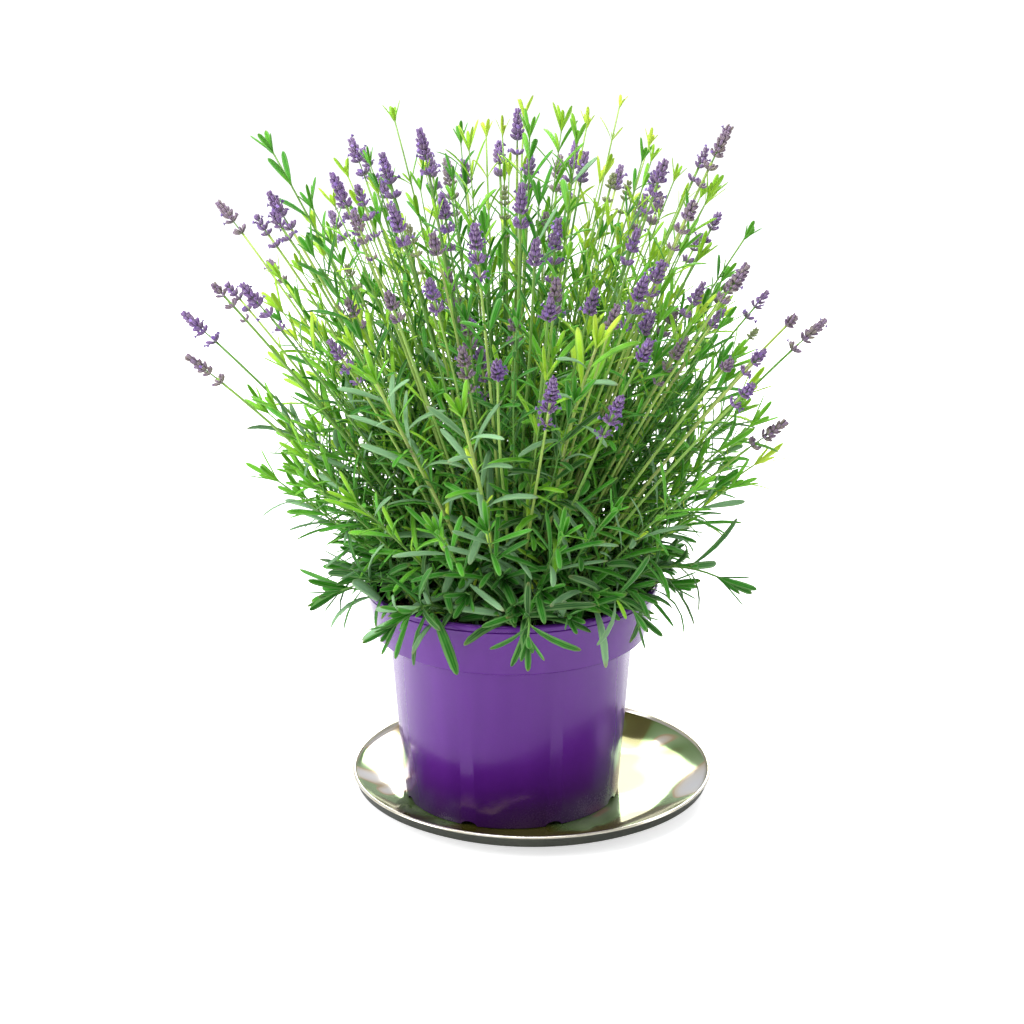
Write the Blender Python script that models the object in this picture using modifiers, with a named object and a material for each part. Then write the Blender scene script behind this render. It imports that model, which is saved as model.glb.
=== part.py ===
# Potted lavender: a flowering lavender plant in a purple plastic nursery pot, on a polished metal saucer.
# Metres, +Z up. The origin is on the pot's axis, level with the underside of the saucer.
import math
import random

import bmesh
import bpy
from mathutils import Matrix, Vector
from mathutils.bvhtree import BVHTree

PART_NAME = "potted_lavender"
MERGE_DISTANCE = 0.00001
GAP = 0.0003                      # between two pieces that touch
ROUND_STEPS = 48                  # sides of every large turned piece

# Pot
POT_RIM_RADIUS = 0.095            # outside of the lip
POT_HEIGHT = 0.145
POT_WALL = 0.0018
POT_FLOOR_LIFT = 0.0035           # underside of the pot's floor above its foot
POT_CORNER = 0.0016               # rounding of the lip and of the band's lower edge
LIP_HEIGHT = 0.0040
LIP_WIDTH = 0.0042
LIP_OVERHANG = 0.0009             # lip beyond the band below it
BAND_HEIGHT = 0.0345              # lip and flared band together
BAND_TAPER = 0.0064               # band's lower radius below its upper one
BAND_STEP = 0.0086                # from the band's lower edge in to the body
BODY_TAPER = 0.0082               # foot's radius below the body's upper one
NOTCH_COUNT = 8
NOTCH_WIDTH = 0.0110              # low arched drainage notches in the foot ring
NOTCH_HEIGHT = 0.0030
NOTCH_SIDES = 16
NOTCH_CUT_WALLS = 6               # cutter's length in walls, well through the foot ring
CORNER_STEPS = 3

# Saucer
PLATE_HEIGHT = 0.0160
PLATE_FLOOR = 0.0032
PLATE_WALL = 0.0048
PLATE_ROLL = 0.0012               # radius of the rolled edge
PLATE_DISH_WIDTH = 0.0300         # from the flat floor out to the rim
PLATE_DISH_CURVE = 1.6            # power of the dish's rise
PLATE_DISH_RINGS = (0.0, 0.25, 0.5, 0.75, 0.95)   # shares of the way out to the rim
PLATE_LEAST_LIFT = 0.0005         # dish's underside above the flat foot
PLATE_ROLL_ARC = (110, -70)       # degrees, from the dish over the edge to the underside
PLATE_ROLL_STEPS = 4
PLATE_FOOT_CLEARANCE = 0.0020     # flat floor beyond the pot's foot
PLATE_OFFSET = Vector((0.0136, 0.0095, 0.0))

# Soil
SOIL_DROP = 0.0145                # soil below the lip
SOIL_CLEARANCE = 0.0004
SOIL_EDGE_DIP = 0.0020            # soil's edge below its middle
SOIL_EDGE_WIDTH = 0.0060

# Plant
PLANT_HEIGHT = 0.311              # above the soil
PLANT_SPREAD = 0.206              # from the pot's axis to the outermost flower
FAN_DEPTH = 0.045                 # depth under the soil of the point the stems lean out from
STRAIGHT_FOOT = 0.003             # upright start of every stem
FAN_BOW_OUT = 0.45                # where a stem's bow bends, as a share of its way out and up
FAN_BOW_UP = 0.55
SKIRT_INSET = 0.020               # rim shoots' feet inside the soil's edge
SKIRT_BOW_OUT = 0.25
SKIRT_ARCH = 0.018                # height of a rim shoot's arch above its tip
STEM_WIDTH = 0.0016
STEM_SEGMENTS = 5
STEM_TIP_SHARE = 0.75             # stem's width at its tip against its foot
WHORL_DROP = 0.013                # lone whorl of flowers below the spike
WHORL_LENGTH = 0.006
WHORL_SWELL = 4.0                 # whorl's width against the stem's
SPIKE_LENGTH = 0.026
SPIKE_RADIUS = 0.0052
SPIKE_SIDES = 8
SPIKE_OUTLINE = ((0.96, 0.40), (0.80, 0.86), (0.62, 0.74), (0.44, 1.00), (0.24, 0.84), (0.08, 0.50))
SPIKE_LENGTH_SHARES = (1.0, 0.85, 1.12, 0.92)

# Leaves
LEAF_LENGTH = 0.036
LEAF_WIDTH = 0.0050
LEAF_THICKNESS = 0.0008
LEAF_FOOT = 0.0014                # height of a leaf's foot on the stem
LEAF_OUTLINE = ((0.38, 0.92), (0.78, 0.90), (1.0, 0.34))   # share of the length, share of the width
LEAF_CURL = math.radians(26)      # how far a leaf bends outward along its length
LEAF_OPENING_LOW = math.radians(56)
LEAF_OPENING_HIGH = math.radians(24)
LEAF_TURNS = ((0, 0), (0, 25), (0, -25), (-14, 0), (14, 0))  # opening and sideways turn tried, degrees
LEAF_CLEARANCE = 0.0008
LEAF_TIP_SHORTENING = 0.35        # how much shorter a shoot's highest leaves are
LEAF_LENGTH_RANGE = (0.88, 1.08)
PAIR_SPACING = 0.021
FIRST_PAIR = 0.026                # lowest leaf pair above the soil
SKIRT_FIRST_PAIR = 0.013
LAST_PAIR = 0.003                 # highest leaf pair below the tip
HEADING_STEP = 0.01               # share of a bow on either side that gives its direction
SHAPE_SEED = 7

# Flower tips: east and north in percent of the spread, and height in percent of the plant's height.
FLOWER_TIPS = (
    (-100, 0, 61), (-96, -20, 55), (-78, -32, 71), (-92, 32, 80), (-72, -7, 86), (-51, -32, 92),
    (-50, 32, 93), (-33, -52, 88), (-27, -4, 98), (-21, 54, 87), (-10, -64, 86), (2, 21, 100),
    (3, -31, 90), (21, 61, 90), (47, 32, 88), (64, -9, 99), (67, -43, 76), (96, 3, 59), (82, -22, 42),
)
# Tips of the leafy shoots inside the fan of flower stems.
FAN_SHOOT_TIPS = (
    (-42, -52, 53), (-9, -61, 48), (28, -54, 60), (31, -21, 53), (78, -7, 28), (68, 35, 53),
    (30, 72, 66), (-43, 69, 63), (-68, 38, 50), (-78, 10, 37), (-73, -19, 26),
)
# Tips of the short shoots that arch out over the pot's rim.
SKIRT_SHOOT_TIPS = (
    (-50, -28, 8), (-30, -52, 8), (8, -60, 6), (36, -46, 8), (61, -27, 10), (50, 40, 10), (-45, 45, 10),
)

# Sizes that follow from those above
POT_BASE = PLATE_FLOOR + GAP
POT_TOP = POT_BASE + POT_HEIGHT
LIP_BASE = POT_TOP - LIP_HEIGHT
BAND_BASE = POT_TOP - BAND_HEIGHT
BAND_TOP_RADIUS = POT_RIM_RADIUS - LIP_OVERHANG
BAND_BASE_RADIUS = BAND_TOP_RADIUS - BAND_TAPER
BODY_TOP_RADIUS = BAND_BASE_RADIUS - BAND_STEP
FOOT_RADIUS = BODY_TOP_RADIUS - BODY_TAPER
POT_FLOOR_TOP = POT_BASE + POT_FLOOR_LIFT + POT_WALL
BAND_SHELF = BAND_BASE + POT_WALL
PLATE_FLAT_RADIUS = FOOT_RADIUS + PLATE_OFFSET.length + PLATE_FOOT_CLEARANCE
PLATE_RADIUS = PLATE_FLAT_RADIUS + PLATE_DISH_WIDTH
SOIL_TOP = POT_TOP - SOIL_DROP


def clear_scene():
    for item in list(bpy.data.objects):
        bpy.data.objects.remove(item, do_unlink=True)


def make_collection(name):
    collection = bpy.data.collections.new(name)
    bpy.context.scene.collection.children.link(collection)
    return collection


def make_material(name, colour, roughness, metallic=0.0):
    material = bpy.data.materials.new(name)
    material.use_nodes = True
    shader = material.node_tree.nodes["Principled BSDF"]
    shader.inputs["Base Color"].default_value = (*colour, 1.0)
    shader.inputs["Roughness"].default_value = roughness
    shader.inputs["Metallic"].default_value = metallic
    material.diffuse_color = (*colour, 1.0)
    return material


def make_object(name, data, collection, material=None):
    item = bpy.data.objects.new(name, data)
    collection.objects.link(item)
    if material:
        data.materials.append(material)
    return item


def arc(centre, radius, start, end, steps):
    # Points of an arc in the profile's plane, its angles in degrees up from the outward direction.
    points = []
    for step in range(steps + 1):
        angle = math.radians(start + (end - start) * step / steps)
        points.append((centre[0] + radius * math.cos(angle), centre[1] + radius * math.sin(angle)))
    return points


def make_turned(name, profile, steps, collection, material):
    # Turns a profile of radius and height, which starts and ends on the axis, about Z.
    mesh = bpy.data.meshes.new(name)
    edges = [(index, index + 1) for index in range(len(profile) - 1)]
    mesh.from_pydata([(radius, 0.0, height) for radius, height in profile], edges, [])
    item = make_object(name, mesh, collection, material)
    screw = item.modifiers.new("Turn", "SCREW")
    screw.angle = math.tau
    screw.steps = steps
    screw.render_steps = steps
    screw.use_merge_vertices = True
    screw.merge_threshold = MERGE_DISTANCE
    screw.use_smooth_shade = True
    return item


def radius_between(low, high, height):
    # Radius at a height on the straight wall between two profile points.
    share = (height - low[1]) / (high[1] - low[1])
    return low[0] + (high[0] - low[0]) * share


def make_plate(collection, material):
    dish = []
    underside = []
    for share in PLATE_DISH_RINGS:
        radius = PLATE_FLAT_RADIUS + PLATE_DISH_WIDTH * share
        height = PLATE_FLOOR + (PLATE_HEIGHT - PLATE_ROLL - PLATE_FLOOR) * share ** PLATE_DISH_CURVE
        dish.append((radius, height))
        if share > 0:
            underside.append((radius, max(height - PLATE_WALL, PLATE_LEAST_LIFT)))
    roll_centre = (PLATE_RADIUS - PLATE_ROLL, PLATE_HEIGHT - PLATE_ROLL)
    profile = [(0.0, PLATE_FLOOR)] + dish
    profile += arc(roll_centre, PLATE_ROLL, *PLATE_ROLL_ARC, PLATE_ROLL_STEPS)
    profile += list(reversed(underside))
    profile += [(PLATE_FLAT_RADIUS, 0.0), (0.0, 0.0)]
    plate = make_turned("saucer", profile, ROUND_STEPS, collection, material)
    plate.location = PLATE_OFFSET
    return plate


def make_notch_cutter(collection):
    shapes = bmesh.new()
    half_width = NOTCH_WIDTH / 2
    lay_down = Matrix.Rotation(math.pi / 2, 4, "Y")
    flatten = Matrix.Scale(NOTCH_HEIGHT / half_width, 4, Vector((0.0, 0.0, 1.0)))
    place = Matrix.Translation((FOOT_RADIUS - POT_WALL / 2, 0.0, POT_BASE))
    for index in range(NOTCH_COUNT):
        turn = Matrix.Rotation(math.tau * (index + 0.5) / NOTCH_COUNT, 4, "Z")
        bmesh.ops.create_cone(shapes, cap_ends=True, segments=NOTCH_SIDES, radius1=half_width,
                              radius2=half_width, depth=NOTCH_CUT_WALLS * POT_WALL,
                              matrix=turn @ place @ flatten @ lay_down)
    mesh = bpy.data.meshes.new("notch_cutter")
    shapes.to_mesh(mesh)
    shapes.free()
    cutter = make_object("notch_cutter", mesh, collection)
    cutter.hide_render = True
    cutter.display_type = "WIRE"
    return cutter


def make_pot(collection, material, cutters):
    lip_inner = POT_RIM_RADIUS - LIP_WIDTH
    corner = POT_CORNER
    profile = [(0.0, POT_FLOOR_TOP), (FOOT_RADIUS - POT_WALL, POT_FLOOR_TOP)]
    profile += [(BODY_TOP_RADIUS - POT_WALL, BAND_SHELF), (BAND_BASE_RADIUS - POT_WALL, BAND_SHELF)]
    profile += [(BAND_TOP_RADIUS - POT_WALL, LIP_BASE - corner), (lip_inner, LIP_BASE)]
    profile += arc((lip_inner + corner, POT_TOP - corner), corner, 180, 90, CORNER_STEPS - 1)
    profile += arc((POT_RIM_RADIUS - corner, POT_TOP - corner), corner, 90, 0, CORNER_STEPS)
    profile += [(POT_RIM_RADIUS, LIP_BASE + LIP_OVERHANG), (BAND_TOP_RADIUS - LIP_OVERHANG, LIP_BASE)]
    profile += [(BAND_TOP_RADIUS, LIP_BASE - LIP_OVERHANG)]
    profile += arc((BAND_BASE_RADIUS - corner, BAND_BASE + corner), corner, 0, -90, CORNER_STEPS)
    profile += [(BODY_TOP_RADIUS, BAND_BASE), (FOOT_RADIUS, POT_BASE)]
    profile += [(FOOT_RADIUS - POT_WALL, POT_BASE), (FOOT_RADIUS - POT_WALL, POT_BASE + POT_FLOOR_LIFT)]
    profile += [(0.0, POT_BASE + POT_FLOOR_LIFT)]
    pot = make_turned("pot", profile, ROUND_STEPS, collection, material)
    notches = pot.modifiers.new("Drainage notches", "BOOLEAN")
    notches.operation = "DIFFERENCE"
    notches.object = make_notch_cutter(cutters)
    return pot


def soil_radius_at_top():
    shelf = (BAND_BASE_RADIUS - POT_WALL, BAND_SHELF)
    band_top = (BAND_TOP_RADIUS - POT_WALL, LIP_BASE - POT_CORNER)
    return radius_between(shelf, band_top, SOIL_TOP - SOIL_EDGE_DIP) - SOIL_CLEARANCE


def make_soil(collection, material):
    edge = soil_radius_at_top()
    inset = POT_WALL + SOIL_CLEARANCE
    profile = [(0.0, SOIL_TOP), (edge - SOIL_EDGE_WIDTH, SOIL_TOP), (edge, SOIL_TOP - SOIL_EDGE_DIP)]
    profile += [(BAND_BASE_RADIUS - inset, BAND_SHELF + GAP), (BODY_TOP_RADIUS - inset, BAND_SHELF + GAP)]
    profile += [(FOOT_RADIUS - inset, POT_FLOOR_TOP + GAP), (0.0, POT_FLOOR_TOP + GAP)]
    return make_turned("potting_soil", profile, ROUND_STEPS, collection, material)


def tip_place(percent):
    east, north, height = (share / 100 for share in percent)
    return Vector((east * PLANT_SPREAD, north * PLANT_SPREAD, SOIL_TOP + height * PLANT_HEIGHT))


def bow_point(foot, middle, tip, share):
    return foot.lerp(middle, share).lerp(middle.lerp(tip, share), share)


def fan_bow(tip):
    # A stem leans out like a spoke of a fan, from one point below the soil, so that no two cross.
    share = FAN_DEPTH / (tip.z - SOIL_TOP + FAN_DEPTH)
    foot = Vector((tip.x * share, tip.y * share, SOIL_TOP + GAP + STRAIGHT_FOOT))
    middle = foot.lerp(tip, FAN_BOW_OUT)
    middle.z = foot.z + (tip.z - foot.z) * FAN_BOW_UP
    return foot, middle, tip


def skirt_bow(tip):
    # A rim shoot starts near the soil's edge, rises past the lip and arches out over it.
    outward = Vector((tip.x, tip.y, 0.0)).normalized()
    foot = outward * (soil_radius_at_top() - SKIRT_INSET)
    foot.z = SOIL_TOP + GAP + STRAIGHT_FOOT
    middle = foot.lerp(tip, SKIRT_BOW_OUT)
    middle.z = tip.z + SKIRT_ARCH
    return foot, middle, tip


def make_stem(name, bow, shares, swellings, collection, material):
    # A square stem along a bow, with a ring of corners at each share of its length.
    foot = bow[0]
    places = [foot - Vector((0.0, 0.0, STRAIGHT_FOOT))]
    places += [bow_point(*bow, share) for share in [0.0] + shares]
    curve = bpy.data.curves.new(name, "CURVE")
    curve.dimensions = "3D"
    curve.bevel_depth = STEM_WIDTH / math.sqrt(2)
    curve.bevel_resolution = 0
    curve.use_fill_caps = True
    spline = curve.splines.new("POLY")
    spline.points.add(len(places) - 1)
    for point, place, share, swelling in zip(spline.points, places, [0.0, 0.0] + shares, [1, 1] + swellings):
        point.co = (*place, 1.0)
        point.radius = (1 - (1 - STEM_TIP_SHARE) * share) * swelling
    guide = make_object(name + "_guide", curve, collection)
    mesh = bpy.data.meshes.new_from_object(guide.evaluated_get(bpy.context.evaluated_depsgraph_get()))
    bpy.data.objects.remove(guide, do_unlink=True)
    shape = bmesh.new()
    shape.from_mesh(mesh)
    bmesh.ops.remove_doubles(shape, verts=shape.verts, dist=MERGE_DISTANCE)
    shape.to_mesh(mesh)
    shape.free()
    mesh.name = name
    return make_object(name, mesh, collection, material)


def make_spike(name, length, collection, material):
    profile = [(0.0, length)]
    profile += [(SPIKE_RADIUS * width, length * height) for height, width in SPIKE_OUTLINE]
    profile += [(STEM_WIDTH, 0.0), (0.0, 0.0)]
    return make_turned(name, profile, SPIKE_SIDES, collection, material)


def make_flower(index, tip, collection, stem_material, spike_material):
    # The spike's top is at the tip, and its stem ends just below it.
    length = SPIKE_LENGTH * SPIKE_LENGTH_SHARES[index % len(SPIKE_LENGTH_SHARES)]
    foot, middle, top = fan_bow(tip)
    direction = (top - middle).normalized()
    bow = (foot, middle, top - direction * (length + GAP))
    shares = [step / STEM_SEGMENTS for step in range(1, STEM_SEGMENTS)]
    swellings = [1] * len(shares)
    if index % 2 == 0:
        run = (bow[2] - foot).length
        low, high = 1 - (WHORL_DROP + WHORL_LENGTH) / run, 1 - WHORL_DROP / run
        middle_share = (low + high) / 2
        shares = [share for share in shares if share < low] + [low, middle_share, high]
        swellings = [1] * (len(shares) - 2) + [WHORL_SWELL, 1]
    shares.append(1.0)
    swellings.append(1)
    stem = make_stem("flower_stem_%02d" % (index + 1), bow, shares, swellings, collection, stem_material)
    spike = make_spike("flower_spike_%02d" % (index + 1), length, collection, spike_material)
    direction = (bow[2] - bow[1]).normalized()
    spike.location = bow[2] + direction * GAP
    spike.rotation_mode = "QUATERNION"
    spike.rotation_quaternion = direction.to_track_quat("Z", "Y")
    return stem, spike


def pair_shares(bow, skirt):
    # Shares of a shoot's length at which its leaf pairs sit.
    run = ((bow[1] - bow[0]).length + (bow[2] - bow[1]).length + (bow[2] - bow[0]).length) / 2
    first = SKIRT_FIRST_PAIR if skirt else FIRST_PAIR
    count = max(2, round((run - first - LAST_PAIR) / PAIR_SPACING) + 1)
    step = (run - first - LAST_PAIR) / (count - 1)
    return [(first + step * index) / run for index in range(count)], run


def make_shoot_stem(name, bow, shares, run, collection, material):
    half = LEAF_FOOT / 2 / run
    rings = []
    for share in shares:
        rings += [share - half, share + half]
    rings.append(1.0)
    return make_stem(name, bow, rings, [1] * len(rings), collection, material)


def leaf_sections(root, outward, along, length, width, opening):
    # Centre, side, upper direction and half width of each section of a blade, from its foot outward.
    side = along.cross(outward)
    sections = []
    for share, width_share in LEAF_OUTLINE:
        lean = opening + LEAF_CURL * share / 2
        centre = root + (outward * math.sin(lean) + along * math.cos(lean)) * (length * share)
        slope = opening + LEAF_CURL * share
        upper = along * math.sin(slope) - outward * math.cos(slope)
        sections.append((centre, side, upper, width * width_share / 2))
    return sections


def section_corners(section, margin):
    centre, side, upper, half_width = section
    half_thickness = LEAF_THICKNESS / 2 + margin
    corners = []
    for across, over in ((-1, -1), (1, -1), (1, 1), (-1, 1)):
        corners.append(centre + side * (across * (half_width + margin)) + upper * (over * half_thickness))
    return corners


def clearance_tree(sections):
    # The space that a leaf needs around itself, as a search tree of its faces.
    corners = []
    faces = [(0, 1, 2, 3)]
    for section in sections:
        corners += section_corners(section, LEAF_CLEARANCE)
    for index in range(0, 4 * (len(sections) - 1), 4):
        for corner in range(4):
            following = (corner + 1) % 4
            faces.append((index + corner, index + following, index + 4 + following, index + 4 + corner))
    last = 4 * (len(sections) - 1)
    faces.append((last, last + 1, last + 2, last + 3))
    return BVHTree.FromPolygons(corners, faces)


def grow_leaf(shape, face, sections, along):
    # Extrudes a stem's face through the sections of a blade.
    reference = along
    for centre, side, upper, half_width in sections:
        face = bmesh.ops.extrude_discrete_faces(shape, faces=[face])["faces"][0]
        middle = face.calc_center_median()
        for corner in face.verts:
            offset = corner.co - middle
            across = math.copysign(half_width, offset.dot(side))
            over = math.copysign(LEAF_THICKNESS / 2, offset.dot(reference))
            corner.co = centre + side * across + upper * over
        reference = upper


def add_leaves(shoot, bow, shares, obstacles, chance):
    # Opposite pairs of leaves, each pair a quarter turn on from the last, where they touch nothing.
    shape = bmesh.new()
    shape.from_mesh(shoot.data)
    own_leaves = []
    for order, share in enumerate(shares):
        centre = bow_point(*bow, share)
        along = bow_point(*bow, share + HEADING_STEP) - bow_point(*bow, share - HEADING_STEP)
        along.normalize()
        ring = [face for face in shape.faces if (face.calc_center_median() - centre).length < LEAF_FOOT]
        zero = ring[0].normal.copy()
        ring.sort(key=lambda face: math.atan2(along.dot(zero.cross(face.normal)), zero.dot(face.normal)))
        opening = LEAF_OPENING_LOW + (LEAF_OPENING_HIGH - LEAF_OPENING_LOW) * share
        length = LEAF_LENGTH * (1.0 - LEAF_TIP_SHORTENING * share) * chance.uniform(*LEAF_LENGTH_RANGE)
        for face in ring[order % 2::2]:
            root = face.calc_center_median()
            for more_opening, sideways in LEAF_TURNS:
                turn = Matrix.Rotation(math.radians(sideways), 3, along)
                outward = turn @ face.normal
                angle = opening + math.radians(more_opening)
                sections = leaf_sections(root, outward, along, length, LEAF_WIDTH, angle)
                leaf_foot = (root, along.cross(outward), along, STEM_WIDTH / 2)
                own_space = clearance_tree(sections)
                full_space = clearance_tree([leaf_foot] + sections)
                meets_others = any(full_space.overlap(tree) for tree in obstacles)
                if not meets_others and not any(own_space.overlap(tree) for tree in own_leaves):
                    grow_leaf(shape, face, sections, along)
                    own_leaves.append(own_space)
                    break
    shape.normal_update()
    shape.to_mesh(shoot.data)
    shape.free()


def surface_tree(item):
    # An object's finished surface in world space, as a search tree.
    evaluated = item.evaluated_get(bpy.context.evaluated_depsgraph_get())
    mesh = bpy.data.meshes.new_from_object(evaluated)
    mesh.transform(item.matrix_world)
    shape = bmesh.new()
    shape.from_mesh(mesh)
    tree = BVHTree.FromBMesh(shape)
    shape.free()
    bpy.data.meshes.remove(mesh)
    return tree


def build():
    clear_scene()
    parts = make_collection(PART_NAME)
    cutters = make_collection("cutters")
    polished_metal = make_material("polished_metal", (0.62, 0.58, 0.50), 0.12, 1.0)
    purple_plastic = make_material("purple_plastic", (0.19, 0.035, 0.23), 0.24)
    dark_soil = make_material("dark_soil", (0.035, 0.022, 0.015), 0.95)
    stem_green = make_material("stem_green", (0.24, 0.33, 0.14), 0.60)
    leaf_green = make_material("leaf_green", (0.17, 0.27, 0.12), 0.60)
    flower_violet = make_material("flower_violet", (0.30, 0.17, 0.42), 0.70)

    solids = [make_plate(parts, polished_metal), make_pot(parts, purple_plastic, cutters)]
    solids.append(make_soil(parts, dark_soil))
    for index, percent in enumerate(FLOWER_TIPS):
        solids += make_flower(index, tip_place(percent), parts, stem_green, flower_violet)

    shoots = []
    bows = [(fan_bow(tip_place(percent)), False) for percent in FAN_SHOOT_TIPS]
    bows += [(skirt_bow(tip_place(percent)), True) for percent in SKIRT_SHOOT_TIPS]
    for index, (bow, skirt) in enumerate(bows):
        shares, run = pair_shares(bow, skirt)
        name = "leafy_shoot_%02d" % (index + 1)
        shoot = make_shoot_stem(name, bow, shares, run, parts, leaf_green)
        shoots.append((shoot, bow, shares))

    bpy.context.view_layer.update()
    trees = {item.name: surface_tree(item) for item in solids + [shoot for shoot, bow, shares in shoots]}
    chance = random.Random(SHAPE_SEED)
    for shoot, bow, shares in shoots:
        obstacles = [tree for name, tree in trees.items() if name != shoot.name]
        add_leaves(shoot, bow, shares, obstacles, chance)
        bpy.context.view_layer.update()
        trees[shoot.name] = surface_tree(shoot)

    whole = bpy.data.objects.new(PART_NAME, None)
    parts.objects.link(whole)
    for item in solids + [shoot for shoot, bow, shares in shoots]:
        item.parent = whole


build()
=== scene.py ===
# Potted lavender: the looks of the plant, its pot and its saucer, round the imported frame
import math
import random

import bpy
import numpy as np
from mathutils import Matrix, Vector, noise


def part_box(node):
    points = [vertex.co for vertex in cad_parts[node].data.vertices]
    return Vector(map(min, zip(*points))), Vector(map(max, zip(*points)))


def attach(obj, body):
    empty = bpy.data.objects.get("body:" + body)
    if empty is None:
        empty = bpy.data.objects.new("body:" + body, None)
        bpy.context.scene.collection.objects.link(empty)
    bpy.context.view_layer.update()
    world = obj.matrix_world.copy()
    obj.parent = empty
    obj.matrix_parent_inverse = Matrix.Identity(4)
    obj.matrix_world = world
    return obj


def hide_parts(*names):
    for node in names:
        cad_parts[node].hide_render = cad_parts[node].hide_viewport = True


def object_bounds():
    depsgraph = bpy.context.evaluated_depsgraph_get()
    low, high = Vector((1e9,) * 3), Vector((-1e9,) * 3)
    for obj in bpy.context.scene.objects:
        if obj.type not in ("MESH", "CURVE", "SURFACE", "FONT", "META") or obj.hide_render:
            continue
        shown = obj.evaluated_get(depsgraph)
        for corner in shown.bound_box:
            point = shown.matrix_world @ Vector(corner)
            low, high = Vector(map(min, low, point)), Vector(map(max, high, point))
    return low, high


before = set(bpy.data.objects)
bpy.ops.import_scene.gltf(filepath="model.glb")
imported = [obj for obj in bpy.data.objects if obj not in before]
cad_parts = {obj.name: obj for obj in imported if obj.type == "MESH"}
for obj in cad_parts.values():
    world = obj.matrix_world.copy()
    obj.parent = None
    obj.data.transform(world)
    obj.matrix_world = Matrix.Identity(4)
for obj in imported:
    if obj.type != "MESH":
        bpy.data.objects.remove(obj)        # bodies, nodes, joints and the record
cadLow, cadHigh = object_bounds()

mm = 0.001
goldenTurn = math.radians(137.508)

# places taken from the frame
potLow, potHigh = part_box("pot")
plateLow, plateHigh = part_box("saucer")
rimRadius = (potHigh.x - potLow.x) / 2
plateRadius = (plateHigh.x - plateLow.x) / 2
plateCentre = ((plateLow.x + plateHigh.x) / 2, (plateLow.y + plateHigh.y) / 2)
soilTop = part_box("potting_soil")[1].z
plantHeight = cadHigh.z - soilTop
plantSpread = -cadLow.x


# small tools used by several pieces
def clearSelection():
    if bpy.context.object and bpy.context.object.mode != "OBJECT":
        bpy.ops.object.mode_set(mode="OBJECT")
    bpy.ops.object.select_all(action="DESELECT")


def mix(low, high, share):
    return low + (high - low) * share


def unit(vector):
    return vector / max(np.linalg.norm(vector), 1e-9)


def arcPoints(centre, radius, start, end, steps):
    # profile points round a corner, angles in degrees up from outward
    angles = [math.radians(mix(start, end, step / steps)) for step in range(steps + 1)]
    return [(centre[0] + radius * math.cos(a), centre[1] + radius * math.sin(a)) for a in angles]


def extrudedTurn(name, profile, sides):
    # a filled circle, extruded and resized through every (radius, height) of the profile
    clearSelection()
    radius, height = profile[0]
    bpy.ops.mesh.primitive_circle_add(vertices=sides, radius=radius, fill_type="NGON",
                                      location=(0, 0, height))
    piece = bpy.context.object
    piece.name = name
    bpy.ops.object.mode_set(mode="EDIT")
    bpy.ops.mesh.select_all(action="SELECT")
    for nextRadius, nextHeight in profile[1:]:
        grow = nextRadius / radius
        bpy.ops.mesh.extrude_region_move(TRANSFORM_OT_translate={"value": (0, 0, nextHeight - height)})
        bpy.ops.transform.resize(value=(grow, grow, 1), center_override=(0, 0, nextHeight))
        radius, height = nextRadius, nextHeight
    bpy.ops.mesh.select_all(action="SELECT")
    bpy.ops.mesh.normals_make_consistent(inside=False)
    bpy.ops.object.mode_set(mode="OBJECT")
    bpy.ops.object.transform_apply(location=True, rotation=True, scale=True)
    return piece


def finishPiece(piece, materials, nodes=(), smoothAngle=None):
    for material in materials:
        piece.data.materials.append(material)
    if smoothAngle:
        clearSelection()
        piece.select_set(True)
        bpy.context.view_layer.objects.active = piece
        bpy.ops.object.shade_smooth_by_angle(angle=math.radians(smoothAngle))
    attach(piece, "root")
    if nodes:
        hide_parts(*nodes)
    return piece


def applyModifier(piece, modifier):
    clearSelection()
    piece.select_set(True)
    bpy.context.view_layer.objects.active = piece
    bpy.ops.object.modifier_apply(modifier=modifier.name)


# camera, at the height of someone looking a little down at a table
view = {"place": (0.0005, -1.400, 0.617), "downward": 16.845, "lens": 80, "sensor": 36}


def addCamera():
    bpy.ops.object.camera_add(location=view["place"], rotation=(math.radians(90 - view["downward"]), 0, 0))
    camera = bpy.context.object
    camera.data.lens = view["lens"]
    camera.data.sensor_width = view["sensor"]
    bpy.context.scene.camera = camera


addCamera()
print("camera set")

# node helpers for the finishes


def newMaterial(name):
    material = bpy.data.materials.new(name)
    material.use_nodes = True
    return material, material.node_tree.nodes, material.node_tree.links


def addNode(nodes, kind, **settings):
    node = nodes.new(kind)
    for key, value in settings.items():
        setattr(node, key, value)
    return node


def addRamp(nodes, stops):
    ramp = nodes.new("ShaderNodeValToRGB")
    elements = ramp.color_ramp.elements
    while len(elements) < len(stops):
        elements.new(0.5)
    for element, (position, colour) in zip(elements, stops):
        element.position = position
        element.color = (*colour, 1)
    return ramp


def addMath(nodes, links, operation, first, second=None, clamp=False):
    node = addNode(nodes, "ShaderNodeMath", operation=operation, use_clamp=clamp)
    for socket, value in zip(node.inputs, (first, second)):
        if isinstance(value, (int, float)):
            socket.default_value = value
        elif value is not None:
            links.new(value, socket)
    return node.outputs[0]


def addMix(nodes, links, factor, first, second, blend="MIX"):
    node = addNode(nodes, "ShaderNodeMix", data_type="RGBA", blend_type=blend)
    for socket, value in zip((node.inputs[0], node.inputs[6], node.inputs[7]), (factor, first, second)):
        if isinstance(value, (int, float)):
            socket.default_value = value
        elif isinstance(value, tuple):
            socket.default_value = (*value, 1)
        else:
            links.new(value, socket)
    return node.outputs[2]


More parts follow.
